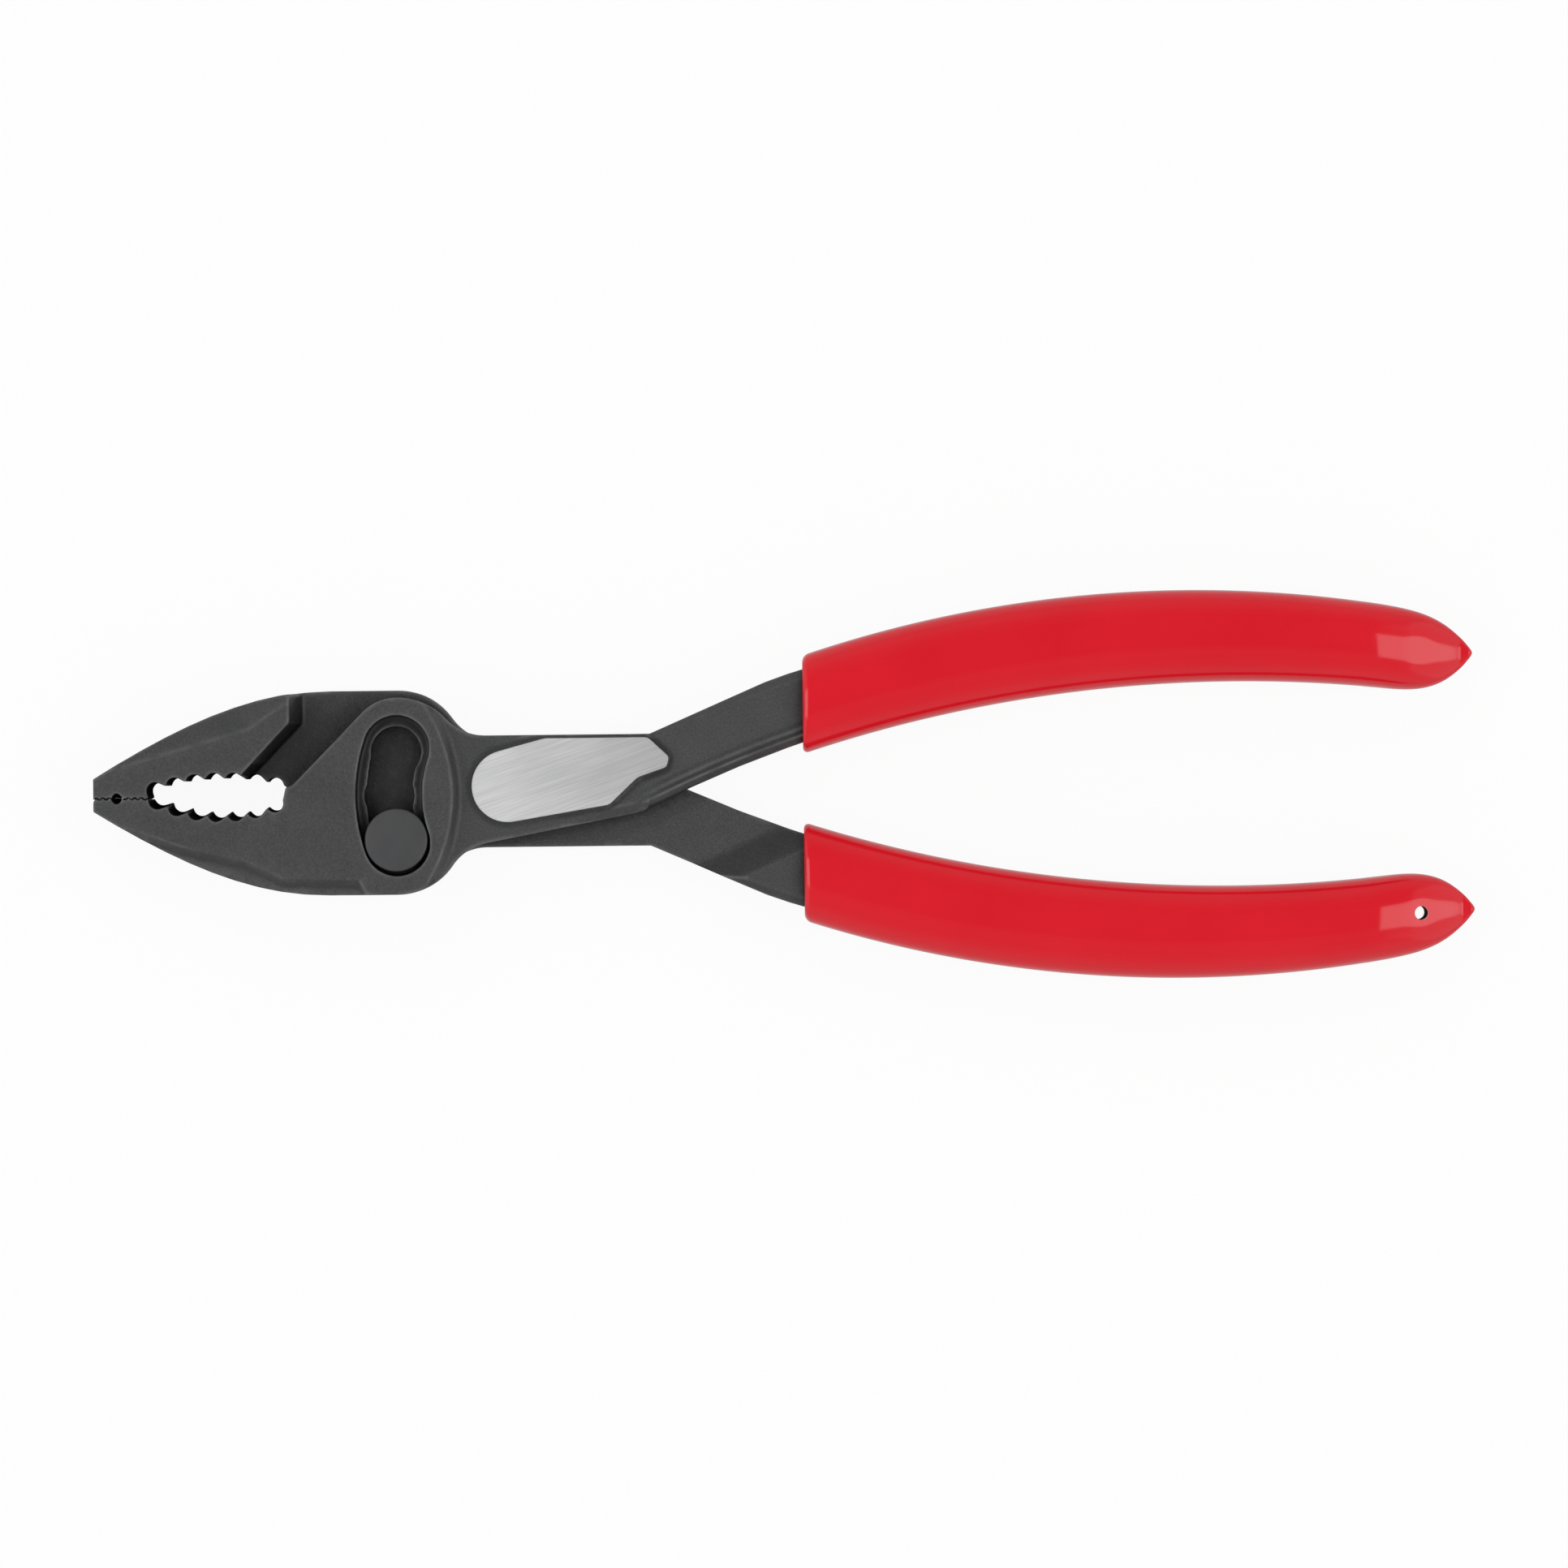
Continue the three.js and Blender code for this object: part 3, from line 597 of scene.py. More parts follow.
def linked(name, mesh):
    piece = bpy.data.objects.new(name, mesh)
    bpy.context.collection.objects.link(piece)
    return piece


def applied(piece):
    """The piece's mesh with its modifiers applied, in place of the mesh it had."""
    graph = bpy.context.evaluated_depsgraph_get()
    mesh = bpy.data.meshes.new_from_object(piece.evaluated_get(graph))
    piece.modifiers.clear()
    piece.data = mesh
    return mesh


def finished(piece, material, body, slot, *nodes, crease=None):
    """Shades a piece, gives it its finish and sets it on its body."""
    mesh = piece.data
    mesh.materials.clear()
    mesh.materials.append(material)
    mesh.shade_smooth()
    if crease:
        mesh.set_sharp_from_angle(angle=math.radians(crease))
    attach(piece, body)
    if nodes:
        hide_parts(*nodes)
    return piece


def skinned(name, rings, closed=False):
    """A piece lofted through rings of points in the tool's frame, capped unless it closes on itself."""
    rings = [np.asarray(ring, dtype=float) for ring in rings]
    size = len(rings[0])
    points = placed(np.concatenate(rings))
    spans = len(rings) if closed else len(rings) - 1
    faces = []
    for i in range(spans):
        here = i * size
        there = (i + 1) % len(rings) * size
        for j in range(size):
            k = (j + 1) % size
            faces.append((here + j, here + k, there + k, there + j))
    if not closed:
        faces.append(tuple(range(size)))
        faces.append(tuple(range((len(rings) - 1) * size, len(rings) * size)))
    mesh = bpy.data.meshes.new(name)
    mesh.from_pydata(points.tolist(), [], faces)
    shell = bmesh.new()
    shell.from_mesh(mesh)
    bmesh.ops.recalc_face_normals(shell, faces=shell.faces)
    shell.to_mesh(mesh)
    shell.free()
    return linked(name, mesh)


def circle(x, y, z, radius, steps=LATHE_STEPS):
    angles = np.linspace(0.0, 2 * math.pi, steps, endpoint=False)
    return np.stack([x + radius * np.cos(angles), y + radius * np.sin(angles), np.full(steps, z)], axis=1)


def rounded_edge(radius_in, z_in, radius_out, z_out):
    """Profile points of a quarter round from the face point to the side point of an edge."""
    points = []
    for i in range(EDGE_STEPS + 1):
        angle = math.pi / 2 * i / EDGE_STEPS
        r = radius_in + (radius_out - radius_in) * math.sin(angle)
        z = z_out + (z_in - z_out) * math.cos(angle)
        points.append((r, z))
    return points


def pivot_ring(z, radius):
    return circle(PIVOT_X, PIVOT_Y, z, radius)


def lathed(name, profile, closed=False):
    return skinned(name, [pivot_ring(z, r) for r, z in profile], closed)


def edge_ends(mesh):
    flat = np.empty(2 * len(mesh.edges), dtype=np.int64)
    mesh.edges.foreach_get("vertices", flat)
    return flat.reshape(-1, 2)


def both_ways(edges):
    """The points at the edges' ends, each edge taken in both directions."""
    return np.concatenate([edges[:, 0], edges[:, 1]]), np.concatenate([edges[:, 1], edges[:, 0]])


def store(mesh, name, values):
    mesh.attributes.new(name, "FLOAT", "POINT").data.foreach_set("value", values)


# Forgings


def smoothed(points, edges, rounds):
    """Moves each point towards its neighbours' middle for the number of rounds that it is given."""
    ends, others = both_ways(edges)
    count = len(points)
    valence = np.bincount(ends, minlength=count)[:, None]
    for i in range(math.ceil(rounds.max())):
        share = ROUND_SHARE * np.clip(rounds - i, 0.0, 1.0)[:, None]
        middle = np.stack([np.bincount(ends, points[others, k], count) for k in range(3)], axis=1) / valence
        points = points + share * (middle - points)
    return points


def off_slot(x, y):
    """How far points lie from the slot's middle line, and from its middle across the tool."""
    return np.abs(np.hypot(x - SLOT_X, y - SLOT_Y) - SLOT_R), np.abs(y - SLOT_Y)


def rounding(points, slotted):
    """Smoothing rounds for points of a half in the front half's place."""
    x, y, _ = points.T
    rounds = np.full(len(points), BOSS_ROUNDS)
    jaw = 1.0 - ease(x, JAW_END_X - ZONE_BLEND, JAW_END_X)
    rounds += (JAW_ROUNDS - rounds) * jaw
    rounds += (NECK_ROUNDS - rounds) * ease(x, BOSS_END_X - ZONE_BLEND, BOSS_END_X)
    rounds += (HANDLE_ROUNDS - rounds) * ease(x, HANDLE_START_X - ZONE_BLEND, HANDLE_START_X)
    rounds += (JUNCTION_ROUNDS - rounds) * np.exp(-((x - NECK_END) / JUNCTION_REACH) ** 2)
    teeth = jaw * (1.0 - ease(np.abs(y), TEETH_HALF_HEIGHT - EDGE_BLEND, TEETH_HALF_HEIGHT))
    rounds += (TEETH_ROUNDS - rounds) * teeth
    if slotted:
        across, along = off_slot(x, y)
        near = 1.0 - ease(across, SLOT_ROOM - EDGE_BLEND, SLOT_ROOM)
        near *= 1.0 - ease(along, SLOT_REACH - EDGE_BLEND, SLOT_REACH)
        near *= 1.0 - ease(x, SLOT_X - 2 * ZONE_BLEND, SLOT_X)
        rounds += (SLOT_ROUNDS - rounds) * near
    return rounds


def pad_distance(points):
    """How far points lie outside the ground flat's outline, zero inside it."""
    outline = pad_outline(0.0)
    x, y = points[:, 0], points[:, 1]
    nearest = np.full(len(points), np.inf)
    inside = np.zeros(len(points), dtype=bool)
    for (ax, ay), (bx, by) in zip(outline, np.roll(outline, -1, axis=0)):
        span = (bx - ax) ** 2 + (by - ay) ** 2
        along = np.clip(((x - ax) * (bx - ax) + (y - ay) * (by - ay)) / span, 0.0, 1.0)
        nearest = np.minimum(nearest, np.hypot(x - ax - along * (bx - ax), y - ay - along * (by - ay)))
        crosses = (ay > y) != (by > y)
        with np.errstate(divide="ignore", invalid="ignore"):
            inside ^= crosses & (x < ax + (y - ay) * (bx - ax) / (by - ay))
    return np.where(inside, 0.0, nearest)


def bow_line(x):
    """Height of the handle's middle line."""
    return BOW_APEX_Y - BOW_R + np.sqrt(BOW_R ** 2 - (x - BOW_APEX_X) ** 2)


def bow_offset(x, y):
    """How far points lie above the handle's middle line, across it."""
    away = (x - BOW_APEX_X) / BOW_R
    return (y - bow_line(x)) * np.sqrt(1.0 - away * away)


def groove_depth(x, y):
    """Depth of the two lines along the lower edge of the handle's front."""
    across = bow_offset(x, y)
    depth = 0.0
    for inset, deep in zip(GROOVE_INSETS, GROOVE_DEPTHS):
        depth = depth + deep * np.exp(-((across + BAR_HALF_HEIGHT - inset) / GROOVE_HALF_WIDTH) ** 2)
    return depth * ease(x, GROOVE_START_X, GROOVE_FULL_X)


def outside_crease(x, y):
    """How far points lie outside the lower jaw's wavy crease, zero or less inside it."""
    return np.interp(x, *np.transpose(JAW_CREASE)) - y


def crease_face(x, y):
    """Height of the lower jaw's bevel: a steep band next to its wavy crease, then a gentler slope."""
    out = outside_crease(x, y)
    band = np.clip(out, 0.0, CREASE_BAND)
    rest = np.maximum(out - CREASE_BAND, 0.0)
    drop = CREASE_STEEP * band + CREASE_GENTLE * rest
    return THICKNESS - drop * (x < JAW_CREASE[-1][0])


def sculpted(points, slotted):
    """Forging details on points of a half in the front half's place."""
    x, y, z = points.T.copy()
    front = ease(z, FRONT_LOW_Z, FRONT_HIGH_Z)
    hole = 1.0 - ease(np.hypot(x - WIRE_HOLE[0], y - WIRE_HOLE[1]), WIRE_HOLE_R, WIRE_HOLE_REACH)
    low = 1.0 - z / THICKNESS if slotted else z / THICKNESS
    x += WIRE_HOLE_LEAN * low * hole
    top = NECK_TOP_Z - (NECK_TOP_Z - BAR_TOP_Z) * ease(x, NECK_FALL_X, NECK_FALL_END_X)
    under_flat = (x > NECK_FALL_X) & (z < NECK_TOP_Z + NECK_TOP_ROOM)
    z = np.where(under_flat, np.minimum(z, top), z)
    edge = NECK_HALF + CORNER_RISE * np.maximum(x - CORNER_X, 0.0)
    y = np.where((x > CORNER_START_X) & (x < CORNER_END_X), np.minimum(y, edge), y)
    inset = y - NECK_EDGE_Y + NECK_EDGE_SLOPE * (NECK_END - x)
    bevel = np.clip(NECK_BEVEL - inset, 0.0, None) * ease(x, NECK_BEVEL_START_X, NECK_END)
    bevelled = (bevel > 0.0) & (x < NECK_BEVEL_END_X) & (z > LAP_Z) & slotted
    z = np.where(bevelled, np.minimum(z, top - bevel), z)
    z -= groove_depth(x, y) * front
    if slotted:
        from_pad = pad_distance(points)
        contour = (1.0 - ease(from_pad, CONTOUR_FLAT, CONTOUR_WIDTH)) * (from_pad > 0.0)
        z -= CONTOUR_DEPTH * contour * front
        z = np.where(z > LAP_Z, np.minimum(z, crease_face(x, y)), z)
    taper = 1.0 - BAR_TAPER_SHARE * ease(x, BAR_TAPER_X, BAR_END_X)
    z = MID_Z + (z - MID_Z) * taper
    y = np.where(x > BAR_TAPER_X, bow_line(x) + (y - bow_line(x)) * taper, y)
    return np.stack([x, y, z], axis=1)


def in_front_place(mesh, over):
    """A half's points in the tool's frame, turned over to the front half's place for the rear half."""
    points = in_tool(coordinates(mesh))
    return turned_over(points) if over else points


def forged_mask(mesh, over):
    """How rough each point is left: lap faces, neck and handles more than the faces that are finished."""
    x, _, z = in_front_place(mesh, over).T
    level = np.abs(normals(mesh)[:, 2])
    lap = ease(level, *LAP_LEVEL) * (1.0 - ease(np.abs(z - LAP_Z), *LAP_BAND))
    neck = FORGED_NECK * ease(x, BOSS_END_X - ZONE_BLEND, BOSS_END_X)
    slope = FORGED_SLOPE * (1.0 - ease(level, *FLAT_LEVEL))
    store(mesh, "forged", np.maximum(np.maximum(lap, neck), np.maximum(slope, FORGED_LEAST)))


def softened(mesh, values, rounds):
    """Values of the mesh's points, evened out with their neighbours' a number of times."""
    ends, others = both_ways(edge_ends(mesh))
    valence = np.maximum(np.bincount(ends, minlength=len(values)), 1)
    for _ in range(rounds):
        values = (values + np.bincount(ends, values[others], len(values)) / valence) / 2
    return values


def edge_highlight_mask(mesh, over):
    """Painted highlights along edges, by how sharply the surface turns outwards, and a painted highlight
    along the upper jaw's crease.
    """
    points = coordinates(mesh) / MM
    facing = normals(mesh)
    edges = edge_ends(mesh)
    span = points[edges[:, 1]] - points[edges[:, 0]]
    turn = facing[edges[:, 1]] - facing[edges[:, 0]]
    bend = np.sum(span * turn, axis=1) / np.maximum(np.sum(span * span, axis=1), TINY)
    count = len(points)
    total = np.bincount(edges[:, 0], bend, count) + np.bincount(edges[:, 1], bend, count)
    valence = np.bincount(edges[:, 0], minlength=count) + np.bincount(edges[:, 1], minlength=count)
    # Painted highlight where the surface turns outwards sharply
    edge_highlight = HIGHLIGHT_MOST * ease(total / valence, HIGHLIGHT_START, HIGHLIGHT_END)
    if over:
        x, y, z = in_tool(coordinates(mesh)).T
        crease_x, crease_y = np.transpose(UPPER_CREASE)
        away = (y - np.interp(x, crease_x, crease_y)) / UPPER_CREASE_HALF_WIDTH
        on_front = (z > UPPER_CREASE_LOW_Z) & (x > crease_x[0]) & (x < crease_x[-1])
        # Painted highlight along the upper jaw's crease
        edge_highlight = np.maximum(edge_highlight, UPPER_CREASE_HIGHLIGHT * np.exp(-away * away) * on_front)
    store(mesh, "edge_highlight", softened(mesh, edge_highlight, HIGHLIGHT_SOFT))


def openness(mesh, tree):
    """The share of each point's surroundings that no surface blocks, 1 for steel inside a grip."""
    places = coordinates(mesh)
    facing = normals(mesh)
    hits = np.zeros(len(places))
    weights = np.full(len(places), TINY)
    seen = in_tool(places)[:, 0] < SHELTER_END_X
    for i in range(SHELTER_RAYS):
        up = 1.0 - 2.0 * (i + 0.5) / SHELTER_RAYS
        flat = math.sqrt(1.0 - up * up)
        ray = Vector((flat * math.cos(GOLDEN_TURN * i), flat * math.sin(GOLDEN_TURN * i), up))
        share = facing @ np.array(ray)
        for j in np.flatnonzero(seen & (share > SHELTER_LEAST)):
            start = Vector(places[j] + facing[j] * SHELTER_LIFT * MM)
            blocked = tree.ray_cast(start, ray, SHELTER_REACH * MM)[0] is not None
            hits[j] += share[j] * blocked
            weights[j] += share[j]
    return 1.0 - hits / weights


def teeth_share(x, y):
    """1 near the teeth, 0 at the jaws' end faces and elsewhere."""
    along = ease(x, TIP_FACE_X, 2 * TIP_FACE_X) * (1.0 - ease(x, JAW_END_X - EDGE_BLEND, JAW_END_X))
    return along * (1.0 - ease(np.abs(y), TEETH_INNER_HEIGHT, TEETH_HALF_HEIGHT))


def ramp_share(mesh, x, z, level):
    """1 on the slope between the lap's level and the back of the handle, softened at its ends."""
    slope = ease(level, *RAMP_LEVEL) * (1.0 - ease(level, *FLAT_LEVEL))
    inside = (z > RAMP_LOW_Z) & (z < RAMP_HIGH_Z)
    return softened(mesh, ease(x, *RAMP_X) * slope * inside, RAMP_SOFT)


def recess_share(x, y, z):
    """1 low in the recess round the slot, 0 at its rim and elsewhere."""
    across, along = off_slot(x, y)
    inside = (across < SLOT_ROOM) & (along < SLOT_REACH) & (x < RECESS_END_X) & (z > RECESS_LOW_Z)
    return inside * (1.0 - ease(z, *RECESS_RIM_Z))


def crease_share(x, y, z):
    """1 on the steep band next to the lower jaw's crease."""
    out = outside_crease(x, y)
    band = ease(out, 0.0, CREASE_SOFT) * (1.0 - ease(out, CREASE_BAND, CREASE_BAND + CREASE_FADE))
    return band * (z > CREASE_LOW_Z) * (x < JAW_CREASE[-1][0])


def shelter_mask(piece, tree, over):
    """How open each point is, lowered by more painted shade on walls, the ramp, the grooves, the recess, the
    lower jaw's crease and round the flat, and which points lie near the teeth.
    """
    mesh = piece.data
    points = in_front_place(mesh, over)
    x, y, z = points.T
    level = np.abs(normals(mesh)[:, 2])
    wall = 1.0 - ease(level, *WALL_LEVEL)
    in_teeth = teeth_share(x, y)
    clear = openness(mesh, tree)
    # Painted shade is eased off where points are shut in almost all round
    covered = 1.0 - ease(clear, COVERED_START, COVERED_END)
    clear = clear + covered * (COVERED_OPEN - clear)
    # Painted shade on upright walls away from the teeth
    clear = clear * (1.0 - WALL_DARK * wall * (1.0 - in_teeth) * (1.0 - ease(clear, *WALL_OPEN)))
    # Painted shade on the ramp up to the back of the handle
    clear = clear * (1.0 - RAMP_DARK * ramp_share(mesh, x, z, level))
    groove = groove_depth(x, y) / GROOVE_DEPTHS[0] * ease(z, FRONT_LOW_Z, FRONT_HIGH_Z)
    # Painted shade in the two lines along the handle
    clear = clear * (1.0 - GROOVE_DARK * groove)
    if not over:
        # Painted shade low in the recess round the slot, on the steep band by the lower jaw's crease and
        # round the ground flat
        clear = clear * (1.0 - RECESS_DARK * recess_share(x, y, z))
        clear = clear * (1.0 - CREASE_DARK * crease_share(x, y, z) * (1.0 - wall))
        near = (1.0 - ease(pad_distance(points), CONTOUR_NEAR, CONTOUR_WIDTH)) * ease(z, *CONTOUR_Z)
        clear = clear * (1.0 - CONTOUR_DARK * near)
    store(mesh, "teeth", in_teeth)
    store(mesh, "unshaded", clear)


def surroundings(pieces):
    """A search tree over all the pieces' surfaces."""
    points = []
    faces = []
    for piece in pieces:
        start = len(points)
        points += [v.co.copy() for v in piece.data.vertices]
        faces += [[start + v for v in polygon.vertices] for polygon in piece.data.polygons]
    return BVHTree.FromPolygons(points, faces)


def forging(name, node, material, over):
    """A half with the rounded edges of a forging, made from the solid's own surface."""
    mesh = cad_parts[node].data.copy()
    shell = bmesh.new()
    shell.from_mesh(mesh)
    bmesh.ops.remove_doubles(shell, verts=shell.verts, dist=MERGE * MM)
    shell.to_mesh(mesh)
    shell.free()
    piece = linked(name, mesh)
    skin = piece.modifiers.new("skin", "REMESH")
    skin.mode = "VOXEL"
    skin.voxel_size = VOXEL * MM
    mesh = applied(piece)
    points = in_front_place(mesh, over)
    points = smoothed(points, edge_ends(mesh), rounding(points, not over))
    points = sculpted(points, not over)
    points = turned_over(points) if over else points
    set_coordinates(mesh, placed(points))
    fewer = piece.modifiers.new("fewer", "DECIMATE")
    fewer.ratio = min(1.0, FORGING_TRIANGLES / (2 * len(mesh.polygons)))
    mesh = applied(piece)
    forged_mask(mesh, over)
    edge_highlight_mask(mesh, over)
    return finished(piece, material, node, "black_steel", node)


def pad_outline(inset):
    """The ground flat's outline, set in from its edge."""
    centre = np.array(PAD_ROUND)

    def tangent(point, side):
        away = np.array(point) - centre
        angle = math.atan2(away[1], away[0]) + side * math.acos(PAD_ROUND_R / np.hypot(*away))
        return angle % (2 * math.pi)

    start = tangent(PAD_TOP_START, 1)
    end = tangent(PAD_LOWER, -1)
    corners = [PAD_LOWER, PAD_NOTCH, PAD_NOSE_LOWER, PAD_NOSE_UPPER, PAD_TOP_END, PAD_TOP_START]
    ring = []
    arc = [centre + PAD_ROUND_R * np.array((math.cos(a), math.sin(a)))
           for a in np.linspace(start, end, PAD_ARC_STEPS)]
    path = [arc[-1], *[np.array(c) for c in corners], arc[0]]
    for before, corner, after in zip(path, path[1:], path[2:]):
        back = (before - corner) / np.hypot(*(before - corner))
        ahead = (after - corner) / np.hypot(*(after - corner))
        for t in np.linspace(0.0, 1.0, PAD_CORNER_STEPS):
            ring.append(corner + PAD_CORNER_R * ((1 - t) ** 2 * back + t ** 2 * ahead))
    ring = np.array([*ring, *arc])
    ahead = np.roll(ring, -1, axis=0) - np.roll(ring, 1, axis=0)
    inward = np.stack([-ahead[:, 1], ahead[:, 0]], axis=1) / np.hypot(ahead[:, 0], ahead[:, 1])[:, None]
    return ring + inset * inward


def ground_flat(material):
    """The bright face of the neck, a thin plate with a crisp ground edge."""
    levels = [(PAD_INSET, PAD_LOW_Z), (PAD_INSET, PAD_TOP_Z - PAD_EDGE), (PAD_INSET + PAD_EDGE, PAD_TOP_Z)]
    rings = []
    for inset, z in levels:
        outline = pad_outline(inset)
        rings.append(np.column_stack([outline, np.full(len(outline), z)]))
    return finished(skinned("ground_flat", rings), material, "front_half", "ground_steel", crease=PAD_SHARP)


# Pivot


def bolt(material):
    crown = HEAD_TOP_Z - HEAD_CROWN
    profile = [(SEAM, HEAD_TOP_Z), (HEAD_R / 2, HEAD_TOP_Z - HEAD_CROWN / 4)]
    profile += rounded_edge(HEAD_R - HEAD_EDGE_R, crown, HEAD_R, crown - HEAD_EDGE_R)
    profile += [(HEAD_R, HEAD_UNDER_Z + BOLT_EDGE), (HEAD_R - BOLT_EDGE, HEAD_UNDER_Z)]
    profile += [(NECK_PIN_R, HEAD_UNDER_Z), (NECK_PIN_R, NUT_SEAT_Z + BOLT_EDGE)]
    profile += [(NECK_PIN_R - BOLT_EDGE, NUT_SEAT_Z), (THREAD_R, NUT_SEAT_Z)]
    profile += [(THREAD_R, THREAD_END_CHAMFER), (THREAD_R - THREAD_END_CHAMFER, 0.0), (SEAM, 0.0)]
    piece = lathed("bolt", profile)
    return finished(piece, material, "pivot", "bolt_steel", "pivot_bolt", crease=BOLT_SHARP)


def washer(material):
    profile = [
        (WASHER_IN_R, WASHER_LOW_Z), (WASHER_OUT_R - WASHER_EDGE, WASHER_LOW_Z),
        (WASHER_OUT_R, WASHER_LOW_Z + WASHER_EDGE), (WASHER_OUT_R, WASHER_HIGH_Z - WASHER_EDGE),
        (WASHER_OUT_R - WASHER_EDGE, WASHER_HIGH_Z), (WASHER_IN_R, WASHER_HIGH_Z),
    ]
    piece = lathed("washer", profile, closed=True)
    return finished(piece, material, "washer", "bolt_steel", "pivot_washer", crease=BOLT_SHARP)


def nut_ring(z, cone_r):
    """The nut's outline at a level, cut by the chamfer's cone there."""
    angles = np.linspace(0.0, 2 * math.pi, LATHE_STEPS, endpoint=False)
    sector = 2 * math.pi / NUT_SIDES
    from_flat = (angles % sector) - sector / 2
    radius = np.minimum(NUT_FLATS / 2 / np.cos(from_flat), cone_r)
    return np.stack([
        PIVOT_X + radius * np.cos(angles), PIVOT_Y + radius * np.sin(angles), np.full(LATHE_STEPS, z),
    ], axis=1)


def nut(material):
    corner_r = NUT_FLATS / 2 / math.cos(math.pi / NUT_SIDES)
    face_r = NUT_FLATS / 2 * NUT_FACE_SHARE
    rings = [pivot_ring(NUT_SINK, NUT_BORE_R), pivot_ring(0.0, NUT_BORE_R + NUT_SINK)]
    chamfer = np.linspace(0.0, 1.0, EDGE_STEPS + 1)
    rings += [nut_ring(NUT_CHAMFER * t, face_r + (corner_r - face_r) * t) for t in chamfer]
    rings += [nut_ring(NUT_HEIGHT, corner_r), pivot_ring(NUT_HEIGHT, NUT_BORE_R)]
    piece = skinned("nut", rings, closed=True)
    return finished(piece, material, "pivot", "bolt_steel", "pivot_nut", crease=NUT_SHARP)


# Grips


def oval(x, y, half_height, half_depth, squareness):
    """A ring across the handle, between an ellipse and a rectangle."""
    angles = np.linspace(0.0, 2 * math.pi, RING_POINTS, endpoint=False)
    c = np.cos(angles)
    s = np.sin(angles)
    power = 2 / squareness
    return np.stack([
        np.full(RING_POINTS, x),
        y + half_height * np.sign(c) * np.abs(c) ** power,
        MID_Z + half_depth * np.sign(s) * np.abs(s) ** power,
    ], axis=1)


def tail_half_depth(x):
    """Half the grip's thickness, which rounds off to a thin fin at the end."""
    share = min(1.0, max(0.0, (x - TAIL_START_X) / (TAIL_END_X - TAIL_START_X)))
    body = FIN_HALF_DEPTH + (MID_Z - FIN_HALF_DEPTH) * (1.0 - share * share)
    return min(body, math.sqrt(2 * FIN_HALF_DEPTH * max(0.0, LENGTH - x)))


def drip_y(x):
    """Height of the grip's middle line, which levels off towards the tip."""
    past = max(0.0, x - DRIP_START_X)
    return bow_line(x - past * past / (2 * (LENGTH - DRIP_START_X)))


def outer_ring(x):
    stretch = 1.0 / math.sqrt(1.0 - ((x - BOW_APEX_X) / BOW_R) ** 2)
    away = (x - GRIP_WIDEST_X) / GRIP_TAPER_LENGTH
    nose = 1.0 - max(0.0, 1.0 - (LENGTH - x) / NOSE_LENGTH) ** NOSE_ROUND
    tip = min(DRIP_TIP_HALF, math.sqrt(2 * DRIP_TIP_R * (LENGTH - x)))
    side = GRIP_HALF_WIDTH * (1.0 - away * away) * stretch * nose
    half_height = side
    if nose < 1.0:
        half_height = (side ** DRIP_TIP_BLEND + tip ** DRIP_TIP_BLEND) ** (1 / DRIP_TIP_BLEND)
    return oval(x, drip_y(x), max(half_height, SEAM), max(tail_half_depth(x), SEAM), GRIP_SQUARENESS)


def bore_ring(x):
    share = (x - GRIP_MOUTH_X) / (BAR_END_X - GRIP_MOUTH_X)
    taper = 1.0 - BAR_TAPER_SHARE * float(ease(x, BAR_TAPER_X, BAR_END_X))
    half_height = (BAR_HALF_HEIGHT + (BAR_END_HALF_HEIGHT - BAR_HALF_HEIGHT) * share) * taper + GRIP_FIT
    return oval(x, bow_line(x), half_height, BAR_HALF_DEPTH * taper + GRIP_FIT, BORE_SQUARENESS)


def grip_rings():
    """Rings from the bottom of the bore out over the lip and along the outside to the drip."""
    in_bore = np.linspace(BAR_END_X + GRIP_FIT, GRIP_MOUTH_X + LIP_DEPTH, BORE_STATIONS)
    rings = [bore_ring(x) for x in in_bore]
    for i in range(1, LIP_STATIONS):
        angle = math.pi * i / LIP_STATIONS
        x = GRIP_MOUTH_X + LIP_DEPTH * (1.0 - math.sin(angle))
        share = (1.0 - math.cos(angle)) / 2
        rings.append((1.0 - share) * bore_ring(x) + share * outer_ring(x))
    rings += [outer_ring(x) for x in np.linspace(GRIP_MOUTH_X + LIP_DEPTH, TAIL_START_X, BODY_STATIONS)]
    for i in range(1, TAIL_STATIONS + 1):
        left = 1.0 - i / TAIL_STATIONS
        rings.append(outer_ring(LENGTH - (LENGTH - TAIL_START_X) * left ** TAIL_CROWDING))
    return rings


def dented(rings):
    """Presses a shallow round dent into both faces of the tail, where the lower grip has its hole."""
    inside = BORE_STATIONS + LIP_STATIONS
    pressed = rings[:inside]
    for ring in rings[inside:]:
        ring = ring.copy()
        away = np.hypot(ring[:, 0] - TETHER_X, ring[:, 1] - drip_y(TETHER_X))
        height = ring[:, 2] - MID_Z
        depth = DENT_DEPTH * (1.0 - ease(away, 0.0, DENT_R)) * (np.abs(height) > FIN_HALF_DEPTH)
        ring[:, 2] -= np.sign(height) * depth
        pressed.append(ring)
    return pressed


def upper_dip(material):
    piece = skinned("upper_dip", dented(grip_rings()))
    return finished(piece, material, "front_half", "red_grip", "upper_grip", crease=GRIP_SHARP)


def tether_cutter():
    """A plug that flares at both ends, so that the hole's rims are rounded."""
    y = -drip_y(TETHER_X)
    rings = []
    for t in np.linspace(-1.0, 1.0, TETHER_STATIONS):
        flare = TETHER_FLARE * max(0.0, (abs(t) - TETHER_FLARE_START) / (1.0 - TETHER_FLARE_START)) ** 2
        rings.append(circle(TETHER_X, y, MID_Z + t * MID_Z, TETHER_R + flare, TETHER_STEPS))
    return skinned("tether_cutter", rings)


